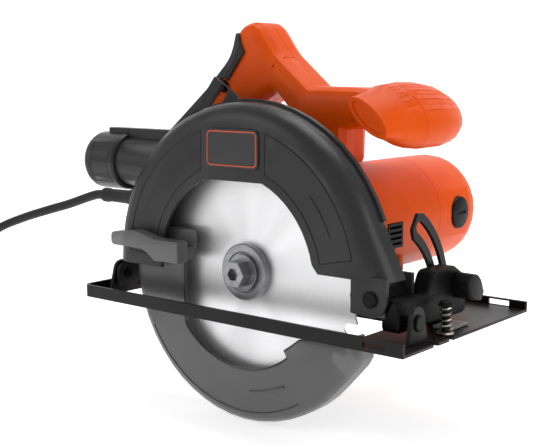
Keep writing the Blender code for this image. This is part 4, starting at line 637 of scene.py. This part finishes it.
@dataclass
class BevelFrame:
    """The casting and the quadrants that tilt with the saw."""

    shop: Workshop

    def build(self) -> None:
        """Refine the frame's parts."""
        self.shop.refine("front_bracket", CASTING, 0.0006)
        self.shop.refine("depth_quadrant", QUADRANT_PAINT, 0.0004)
        self.shop.refine("depth_pivot_pin", BLACK_MOULDING, 0.0003)
        self.shop.refine("bevel_knob", BLACK_MOULDING, 0.0005)
        self.shop.refine("depth_lever", BLACK_MOULDING, 0.0005)


@dataclass
class UpperGuard:
    """The fixed guard with its outlined panels, badge and dust spout."""

    shop: Workshop
    groove: float = 0.00055
    panel_inner: float = 0.0755
    panel_outer: float = 0.1010
    panel_ends: tuple[float, float] = (176, 12)
    panel_steps: int = 24
    badge_gap: float = 0.0285
    slit_radius: float = 0.0885
    slit_angles: tuple[float, float] = (42, 22)
    slit_steps: int = 12
    clip_groove: float = 0.00045
    clip_ends: tuple[float, float] = (0.0085, 0.0050)
    clip_angles: tuple[int, ...] = tuple(range(-44, 41, 7))
    border_inset: float = 0.0016
    border_corner: float = 0.0030
    border_radius: float = 0.00055

    def panel(self, side: int, end: float) -> list[Point]:
        """The outline of one panel.

        Args:
            side: 1 for the panel in front of the badge, -1 for the one behind it.
            end: the angle at which it ends above its leg.

        Returns:
            The closed outline, upright beside the badge.
        """
        starts = [math.degrees(math.acos(side * self.badge_gap / radius))
                  for radius in (self.panel_inner, self.panel_outer)]
        steps = self.panel_steps
        inner = arc(SPINDLE, self.panel_inner, starts[0], end, steps, GUARD_FACE)
        outer = arc(SPINDLE, self.panel_outer, end, starts[1], steps, GUARD_FACE)
        return inner + outer

    def build(self) -> None:
        """Cut the grooves, then add the badge."""
        rear_end, front_end = self.panel_ends
        left = wire("left_panel_groove", self.panel(-1, rear_end), self.groove, True)
        right = wire("right_panel_groove", self.panel(1, front_end), self.groove, True)
        slit_path = arc(SPINDLE, self.slit_radius, *self.slit_angles, self.slit_steps,
                        GUARD_FACE)
        slit = wire("slit_groove", slit_path, self.groove)
        self.shop.refine("upper_guard", GUARD_GREY, 0.0005,
                         cutters=(left, right, slit))
        self.shop.refine("dust_spout", GUARD_GREY, 0.0005, cutters=(self.clip_outline(),))
        self.shop.refine("guard_badge", BADGE_GREY, 0.0002)
        self.badge_border()

    def clip_outline(self) -> bpy.types.Object:
        """The cutter for the four-sided outline in the spout's side."""
        low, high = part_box("dust_spout")
        radius, middle_y = (high.y - low.y) / 2, (low.y + high.y) / 2
        middle_z = low.z + radius
        rear_x, front_x = low.x + self.clip_ends[0], high.x - self.clip_ends[1]
        turns = [math.radians(angle) for angle in self.clip_angles]
        there = [(rear_x, middle_y - radius * math.cos(a), middle_z + radius * math.sin(a))
                 for a in turns]
        back = [(front_x, y, z) for _, y, z in reversed(there)]
        return wire("clip_outline", there + back, self.clip_groove, True)

    def badge_border(self) -> None:
        """A raised border round the blank badge."""
        low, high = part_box("guard_badge")
        inset, corner = self.border_inset, self.border_corner
        middle_x, middle_z = (low.x + high.x) / 2, (low.z + high.z) / 2
        half_x, half_z = (high.x - low.x) / 2 - inset, (high.z - low.z) / 2 - inset
        points: list[Point] = []
        for sx, sz, start in ((1, 1, 0), (-1, 1, 90), (-1, -1, 180), (1, -1, 270)):
            centre = Vector((middle_x + sx * (half_x - corner), 0,
                             middle_z + sz * (half_z - corner)))
            points += arc(centre, corner, start, start + 90, 6, low.y)
        border = wire("badge_border", points, self.border_radius, True)
        self.shop.add(border, BADGE_ORANGE, Body.SAW)


@dataclass
class LowerGuard:
    """The sprung smoky guard with its edge beads and its stiffening ridge."""

    shop: Workshop
    face: float = -0.0529
    inner_radius: float = 0.0674
    inner_angles: tuple[float, float] = (-52, -140)
    back_edge_x: float = -0.0524
    back_edge_levels: tuple[float, float] = (-0.0090, 0.0330)
    inner_bead: float = 0.00075
    outer_radius: float = 0.0975
    outer_angles: tuple[float, float] = (-58, -150)
    outer_bead: float = 0.00035
    edge_steps: int = 30
    toe_corners: tuple[tuple[float, float], ...] = (
        (0.0400, -0.0190), (0.0520, -0.0100), (0.0860, -0.0035))
    toe_bead: float = 0.0006
    ridge_radius: float = 0.0830
    ridge_angles: tuple[float, float] = (-62, -84)
    ridge_steps: int = 14
    ridge_bead: float = 0.0011

    def build(self) -> None:
        """Refine the guard, then add its beads and its ridge."""
        self.shop.refine("lower_guard", SMOKE, 0.0005)
        inner = arc(SPINDLE, self.inner_radius, *self.inner_angles, self.edge_steps, self.face)
        inner += [(self.back_edge_x, self.face, level) for level in self.back_edge_levels]
        outer = arc(SPINDLE, self.outer_radius, *self.outer_angles, self.edge_steps, self.face)
        toe = [(x, self.face, z) for x, z in self.toe_corners]
        for name, points, radius in (("lower_guard_inner_edge", inner, self.inner_bead),
                                     ("lower_guard_outer_line", outer, self.outer_bead),
                                     ("lower_guard_toe_edge", toe, self.toe_bead)):
            self.shop.add(wire(name, points, radius), SMOKE_EDGE, Body.LOWER_GUARD)
        path = arc(SPINDLE, self.ridge_radius, *self.ridge_angles, self.ridge_steps, self.face)
        ridge = wire("lower_guard_ridge", path, self.ridge_bead)
        self.shop.add(ridge, SMOKE, Body.LOWER_GUARD)
        self.shop.keep(BRASS_ZINC, "guard_return_spring")


@dataclass
class Blade:
    """The blade, its flanges, bolt and spindle."""

    shop: Workshop

    def build(self) -> None:
        """Refine the blade and what holds it."""
        self.shop.refine("saw_blade", BLADE_STEEL, 0.0001, 1)
        self.shop.refine("outer_flange", FLANGE_STEEL, 0.0003)
        self.shop.refine("inner_flange", FLANGE_STEEL, 0.0002)
        self.shop.refine("blade_bolt", FLANGE_STEEL, 0.0003)
        self.shop.keep(FLANGE_STEEL, "spindle", "output_gear", "intermediate_gears")


@dataclass
class Motor:
    """The motor housing with its end ribs, caps and working parts.

    Attributes:
        cap_rim: from the cap's corner in to its flat face, and down to its side.
        cap_edge: the point between those, in and down.
        cap_steps: faces round a cap.
        slot_end: from the cap's edge to the end of its slot.
        slot_half: half the slot's width.
        slot_depth: the slot's depth.
        rib_rows: each rib's height from the motor's axis and half its length.
        rib_half: half a rib's width.
        rib_root: how deep a rib is set into the end.
        rib_rise: how far a rib stands out.
        moulded_edge: the rounding of the ribs and the tab.
        tab: the two corners of the tab under the housing.
    """

    shop: Workshop
    cap_rim: tuple[float, float] = (0.0012, 0.0013)
    cap_edge: tuple[float, float] = (0.0003, 0.0004)
    cap_steps: int = 56
    slot_end: float = 0.005
    slot_half: float = 0.0009
    slot_depth: float = 0.0012
    rib_rows: tuple[tuple[float, float], ...] = (
        (-0.024, 0.020), (-0.012, 0.024), (0.0, 0.024), (0.012, 0.024), (0.024, 0.020))
    rib_half: float = 0.0016
    rib_root: float = 0.0060
    rib_rise: float = 0.0004
    moulded_edge: float = 0.0008
    tab: tuple[Point, Point] = ((0.0700, 0.0040, 0.0330), (0.0925, 0.0100, 0.0440))

    def build(self) -> None:
        """Refine the housing and dress what is inside."""
        self.shop.refine("motor_housing", ORANGE, 0.0008)
        self.shop.refine("motor_end_cap", ORANGE, 0.0005)
        self.shop.refine("gear_case", ALLOY, 0.0008)
        self.shop.refine("vent_grille", BLACK_MOULDING, 0.0003)
        self.brush_caps()
        self.shop.keep(MOTOR_STEEL, "armature_shaft", "stator", "armature_front_bearing",
                       "armature_rear_bearing")
        self.shop.keep(FLANGE_STEEL, "spindle_front_bearing", "spindle_rear_bearing")
        self.shop.keep(COPPER, "armature", "commutator")
        self.shop.keep(CARBON, "carbon_brush_front", "carbon_brush_rear")
        self.shop.keep(BLACK_MOULDING, "cooling_fan")
        self.end_ribs()
        tab = rounded_box("housing_tab", *self.tab, self.moulded_edge)
        self.shop.add(tab, ORANGE, Body.SAW)

    def brush_caps(self) -> None:
        """Round caps over the brushes, slotted for a coin."""
        for name, side in (("brush_cap_front", 1), ("brush_cap_rear", -1)):
            low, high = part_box(name)
            middle = (low + high) / 2
            face, foot = (high.x, low.x) if side > 0 else (low.x, high.x)
            radius = (high.y - low.y) / 2
            profile = [(0.0, face), (radius - self.cap_rim[0], face),
                       (radius - self.cap_edge[0], face - side * self.cap_edge[1]),
                       (radius, face - side * self.cap_rim[1]), (radius, foot), (0.0, foot)]
            cap = lathe(name + "_disc", profile, middle, self.cap_steps)
            slot = rounded_box(
                name + "_slot",
                (face - self.slot_depth, low.y + self.slot_end, middle.z - self.slot_half),
                (face + self.slot_depth, high.y - self.slot_end, middle.z + self.slot_half),
                0.0002)
            cut(cap, [slot])
            self.shop.add(cap, BLACK_MOULDING, Body.SAW)
            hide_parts(name)

    def end_ribs(self) -> None:
        """Short ribs across the end between the air slots."""
        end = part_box("motor_end_cap")[1].y
        for index, (level, half) in enumerate(self.rib_rows):
            z = MOTOR_CENTRE.z + level
            rib = rounded_box(f"end_rib_{index}",
                              (MOTOR_CENTRE.x - half, end - self.rib_root, z - self.rib_half),
                              (MOTOR_CENTRE.x + half, end + self.rib_rise, z + self.rib_half),
                              self.moulded_edge)
            self.shop.add(rib, ORANGE, Body.SAW)


@dataclass
class Handle:
    """The handle halves, rubber, switch controls and screws.

    Attributes:
        knob_centre: the front grip's axis, as its place in X and Z.
        knob_long, knob_short: half the grip's section along and across.
        knob_tilt: how far the section is turned about Y.
        knob_ends: the grip's two ends in Y.
        knob_fullness: how square the grip's outline is.
        knob_thinning: how much thinner it is at the blade end.
        groove_count, groove_first, groove_spacing: the lengthwise grooves, in degrees.
        groove_start, groove_step, groove_points: each groove's run along the grip.
        groove_radius: the lengthwise grooves' radius.
        cross_place: the corner of the groove across the grip.
        cross_inward, cross_run: the way and the distance that its end runs in.
        cross_levels: the places in Y of its three points.
        cross_radius: its radius.
        recess_half: half the end recess's length and width.
        recess_depth, recess_out: its cutter's length and how far past the end it sits.
        screw_count: how many screws hold the halves.
    """

    shop: Workshop
    knob_centre: tuple[float, float] = (0.0810, 0.1365)
    knob_long: float = 0.0275
    knob_short: float = 0.0185
    knob_tilt: float = math.radians(40)
    knob_ends: tuple[float, float] = (-0.0190, 0.0880)
    knob_fullness: float = 2.6
    knob_thinning: float = 0.42
    groove_count: int = 9
    groove_first: float = 62
    groove_spacing: float = 9.75
    groove_start: float = -0.56
    groove_step: float = 0.067
    groove_points: int = 21
    groove_radius: float = 0.0006
    cross_place: Point = (-0.0090, 0.0, 0.1762)
    cross_inward: Point = (-0.632, 0.0, -0.775)
    cross_run: float = 0.0090
    cross_levels: tuple[float, float, float] = (-0.0002, 0.0090, 0.0195)
    cross_radius: float = 0.0008
    recess_half: tuple[float, float] = (0.0155, 0.0048)
    recess_depth: float = 0.010
    recess_out: float = 0.0038
    screw_count: int = 3

    def knob_surface(self, share: float, angle: float) -> Point:
        """A point on the front grip's skin.

        Args:
            share: from -1 at the blade end to 1 at the far end.
            angle: round the grip in degrees, with 90 on its upper flat.

        Returns:
            The point in the frame.
        """
        near, far = self.knob_ends
        middle, half = (near + far) / 2, (far - near) / 2
        radius = (1 - abs(share) ** self.knob_fullness) ** 0.5 * self.knob_long
        turn = math.radians(angle)
        thinner = 1 - self.knob_thinning * max(0.0, -share) ** 3
        flat = self.knob_short / self.knob_long * thinner
        point = Vector((radius * math.cos(turn), middle + half * share,
                        radius * math.sin(turn) * flat))
        point.rotate(Matrix.Rotation(self.knob_tilt, 3, "Y"))
        return (point.x + self.knob_centre[0], point.y, point.z + self.knob_centre[1])

    def grip_grooves(self) -> tuple[bpy.types.Object, ...]:
        """Cutters for the lengthwise grooves in the top of the front grip."""
        cutters = []
        for index in range(self.groove_count):
            angle = self.groove_first + index * self.groove_spacing
            path = [self.knob_surface(self.groove_start + self.groove_step * step, angle)
                    for step in range(self.groove_points)]
            cutters.append(wire(f"grip_groove_{index}", path, self.groove_radius))
        return tuple(cutters)

    def cross_groove(self) -> bpy.types.Object:
        """The cutter for the short groove across the grip's upper side."""
        place = Vector(self.cross_place)
        low = place + Vector(self.cross_inward) * self.cross_run
        first, second, third = self.cross_levels
        return wire("cross_groove", [(low.x, first, low.z), (place.x, second, place.z),
                                     (place.x, third, place.z)], self.cross_radius)

    def end_recess(self) -> bpy.types.Object:
        """The cutter for the shallow oval recess in the front grip's blade end."""
        work = bmesh.new()
        bmesh.ops.create_cone(work, segments=40, radius1=1.0, radius2=1.0,
                              depth=self.recess_depth, cap_ends=True)
        bmesh.ops.rotate(work, matrix=Matrix.Rotation(math.radians(90), 3, "X"),
                         verts=work.verts)
        along, across = self.recess_half
        bmesh.ops.scale(work, vec=(along, 1.0, across), verts=work.verts)
        bmesh.ops.rotate(work, matrix=Matrix.Rotation(self.knob_tilt, 3, "Y"),
                         verts=work.verts)
        place = (self.knob_centre[0], self.knob_ends[0] - self.recess_out,
                 self.knob_centre[1])
        bmesh.ops.translate(work, vec=place, verts=work.verts)
        return finish_mesh("end_recess", work)

    def build(self) -> None:
        """Refine the handle's parts."""
        self.shop.refine("handle_shell_blade_side", ORANGE, 0.0006,
                         cutters=(*self.grip_grooves(), self.end_recess(),
                                  self.cross_groove()))
        self.shop.refine("handle_shell_motor_side", ORANGE, 0.0006,
                         cutters=self.grip_grooves())
        self.shop.refine("grip_overmould", RUBBER, 0.0005)
        self.shop.refine("trigger", BLACK_MOULDING, 0.0012, 3)
        self.shop.refine("lock_off_button", BLACK_MOULDING, 0.0003)
        self.shop.refine("spindle_lock_button", BLACK_MOULDING, 0.0003)
        self.shop.keep(BLACK_MOULDING, "switch_module")
        for index in range(self.screw_count):
            self.shop.keep(FLANGE_STEEL, f"handle_screw_{index + 1}")


# --------------------------------------------------------------------------- lead
@dataclass
class Lead:
    """The mains lead: out of the handle, down to the floor, wound up and to its plug.

    Attributes:
        diameter: the lead's diameter.
        coil_centre: the middle of the stored turns, in X and Y.
        coil_inner: the radius of the innermost turn.
        floor_gap: how far the turns lie above the floor.
        seat_gap: how far the first and the last turn stand off the stack.
        per_turn, change: points in a turn, and those in which it moves to its next cell.
        whole_turns: full turns before the last quarter.
        path_step: about how far apart the finished path's points are.
        roundness: how finely the section is rounded.
        route, tail: the points before the stored turns and after them.
        cells: each turn's place in the stack, outwards and up.
    """

    shop: Workshop
    diameter: float = 0.008
    coil_centre: tuple[float, float] = (-0.352, -0.078)
    coil_inner: float = 0.032
    floor_gap: float = 0.0002
    seat_gap: float = 0.0003
    per_turn: int = 24
    change: int = 5
    whole_turns: int = 8
    path_step: float = 0.006
    roundness: int = 4
    route: tuple[Point, ...] = (
        (-0.2163, 0.0190, 0.0610), (-0.2260, 0.0190, 0.0603), (-0.2380, 0.0190, 0.0572),
        (-0.2650, 0.0190, 0.0488), (-0.2950, 0.0189, 0.0408), (-0.3290, 0.0180, 0.0310),
        (-0.3620, 0.0140, 0.0185), (-0.3880, 0.0050, 0.0000), (-0.4050, -0.0100, -0.0240),
        (-0.4120, -0.0300, -0.0480), (-0.4120, -0.0530, -0.0660),
        (-0.4095, -0.0700, -0.0718), (-0.4085, -0.0800, -0.0723),
    )
    tail: tuple[Point, ...] = (
        (-0.3400, -0.1352, -0.0569), (-0.3290, -0.1373, -0.0580), (-0.3190, -0.1400, -0.0600),
        (-0.3110, -0.1410, -0.0622), (-0.3033, -0.1410, -0.0625),
    )
    cells: tuple[tuple[int, int], ...] = (
        (2, 0), (1, 0), (0, 0), (0, 1), (0, 2), (1, 2), (1, 1), (2, 1), (2, 2))

    def coil_points(self) -> list[Point]:
        """Points of the stored turns, one cell of the stack to a turn."""
        gap, per_turn, change = self.diameter, self.per_turn, self.change
        base = FLOOR + gap / 2 + self.floor_gap
        seat = self.coil_inner + 3 * gap + self.seat_gap
        states = [(seat, base)] + [(self.coil_inner + col * gap, base + row * gap)
                                   for col, row in self.cells]
        points = []
        total = per_turn * self.whole_turns + per_turn // 4
        for step in range(2, total + 1):
            turn = step / per_turn
            index = min(int(turn), len(self.cells) - 1)
            within = (turn - index) * per_turn / change
            mix = min(1.0, max(0.0, within))
            mix = mix * mix * (3 - 2 * mix)
            before, here = states[index], states[index + 1]
            radius = before[0] + (here[0] - before[0]) * mix
            height = before[1] + (here[1] - before[1]) * mix
            if step > total - change:
                lift = (step - total + change) / change
                radius += (seat - here[0]) * lift * lift * (3 - 2 * lift)
            angle = math.pi + 2 * math.pi * turn
            points.append((self.coil_centre[0] + radius * math.cos(angle),
                           self.coil_centre[1] + radius * math.sin(angle), height))
        return points

    def build(self) -> None:
        """Make the lead as one curve and dress its ends."""
        knots = [Vector(p) for p in (*self.route[:-1], *self.coil_points(), *self.tail)]
        path = smooth_path(knots, self.path_step)
        lead = tube("mains_lead", path, self.diameter / 2, self.roundness)
        self.shop.add(lead, LEAD_RUBBER, Body.SAW)
        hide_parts("power_cord", "cord_coil", "plug_lead")
        plug = self.shop.refine("mains_plug", LEAD_RUBBER, 0.0006)
        self.shop.refine("strain_relief", RUBBER, 0.0004)
        pins = [self.shop.refine(name, BRASS_ZINC, 0.0002)
                for name in ("plug_pin_left", "plug_pin_right")]


# ------------------------------------------------------------------------- studio
@dataclass(frozen=True)
class Lamp:
    """A square soft light: its name, place, power and width."""

    name: str
    place: Point
    power: float
    size: float


@dataclass
class Studio:
    """A pale floor, soft lights and the camera.

    Attributes:
        eye, back, right: the camera's place, the way back to it and its right.
        lens: its focal length in millimetres.
        floor_near, floor_far: how far the floor runs either way before it bends up.
        bend: the radius of the bend.
        wall_top: the height of the wall.
        half_width: half the floor's width.
        floor_drop: how far the floor lies below the saw's lowest point.
        target: what the lights aim at.
        room_light: the strength of the even light all round.
        lamps: the soft lights.
    """

    shop: Workshop
    eye: Point = (0.473760, -0.593460, 0.167276)
    back: Point = (0.62541, -0.76725, 0.14207)
    right: Point = (0.7751, 0.6318, 0.0)
    lens: float = 69.14
    floor_near: float = 2.5
    floor_far: float = 1.5
    bend: float = 0.8
    wall_top: float = 3.0
    half_width: float = 3.5
    floor_drop: float = 0.0002
    target: Point = (0.0, 0.0, 0.06)
    room_light: float = 0.34
    lamps: tuple[Lamp, ...] = (
        Lamp("top", (0.05, 0.25, 1.10), 7.0, 0.7),
        Lamp("front left", (-0.75, -1.00, 0.65), 3.5, 0.7),
        Lamp("right", (1.10, 0.10, 0.55), 3.0, 0.5))

    def floor(self) -> None:
        """A pale floor that sweeps up into a wall far behind the saw."""
        away = Vector((-self.back[0], -self.back[1], 0)).normalized()
        side = Vector((self.right[0], self.right[1], 0)).normalized()
        level = FLOOR - self.floor_drop
        profile = [(-self.floor_near, 0.0), (self.floor_far, 0.0)]
        for angle in range(10, 100, 10):
            turn = math.radians(angle)
            profile.append((self.floor_far + self.bend * math.sin(turn),
                            self.bend - self.bend * math.cos(turn)))
        profile.append((self.floor_far + self.bend, self.wall_top))
        work = bmesh.new()
        rows = [[work.verts.new(away * out + side * across + Vector((0, 0, level + up)))
                 for across in (-self.half_width, self.half_width)] for out, up in profile]
        for before, after in zip(rows, rows[1:]):
            work.faces.new((before[0], before[1], after[1], after[0]))
        sweep = finish_mesh("studio_floor", work)
        self.shop.dress(sweep, FLOOR_WHITE)

    def light(self, lamp: Lamp) -> None:
        """Set up one soft light, aimed at the saw."""
        data = bpy.data.lights.new(lamp.name, "AREA")
        data.energy = lamp.power
        data.size = lamp.size
        holder = add_object(lamp.name, data)
        holder.location = lamp.place
        aim = Vector(self.target) - Vector(lamp.place)
        holder.rotation_euler = aim.to_track_quat("-Z", "Y").to_euler()

    def camera(self) -> None:
        """The camera at the three-quarter front view."""
        lens = bpy.data.cameras.new("view")
        lens.lens = self.lens
        lens.sensor_width = 36.0
        lens.clip_start = 0.01
        holder = add_object("view", lens)
        back, right = Vector(self.back).normalized(), Vector(self.right).normalized()
        up = back.cross(right)
        turn = Matrix((right, up, back)).transposed().to_4x4()
        holder.matrix_world = Matrix.Translation(self.eye) @ turn
        bpy.context.scene.camera = holder

    def build(self) -> None:
        """Set the whole studio."""
        self.floor()
        self.camera()
        world = bpy.data.worlds.new("soft room")
        world.use_nodes = True
        room = world.node_tree.nodes["Background"]
        room.inputs["Color"].default_value = (1, 1, 1, 1)
        room.inputs["Strength"].default_value = self.room_light
        bpy.context.scene.world = world
        bpy.context.scene.view_settings.view_transform = "Standard"
        for lamp in self.lamps:
            self.light(lamp)


def main() -> None:
    """Build every sub-assembly in order and report each."""
    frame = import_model()
    shop = Workshop(frame)
    Studio(shop).build()
    for maker in (Lead, Sole, BevelFrame, UpperGuard, LowerGuard, Blade, Motor, Handle):
        maker(shop).build()
        LOG.info("%s done", maker.__name__)


if __name__ == "__main__":
    logging.basicConfig(level=logging.INFO)
    main()
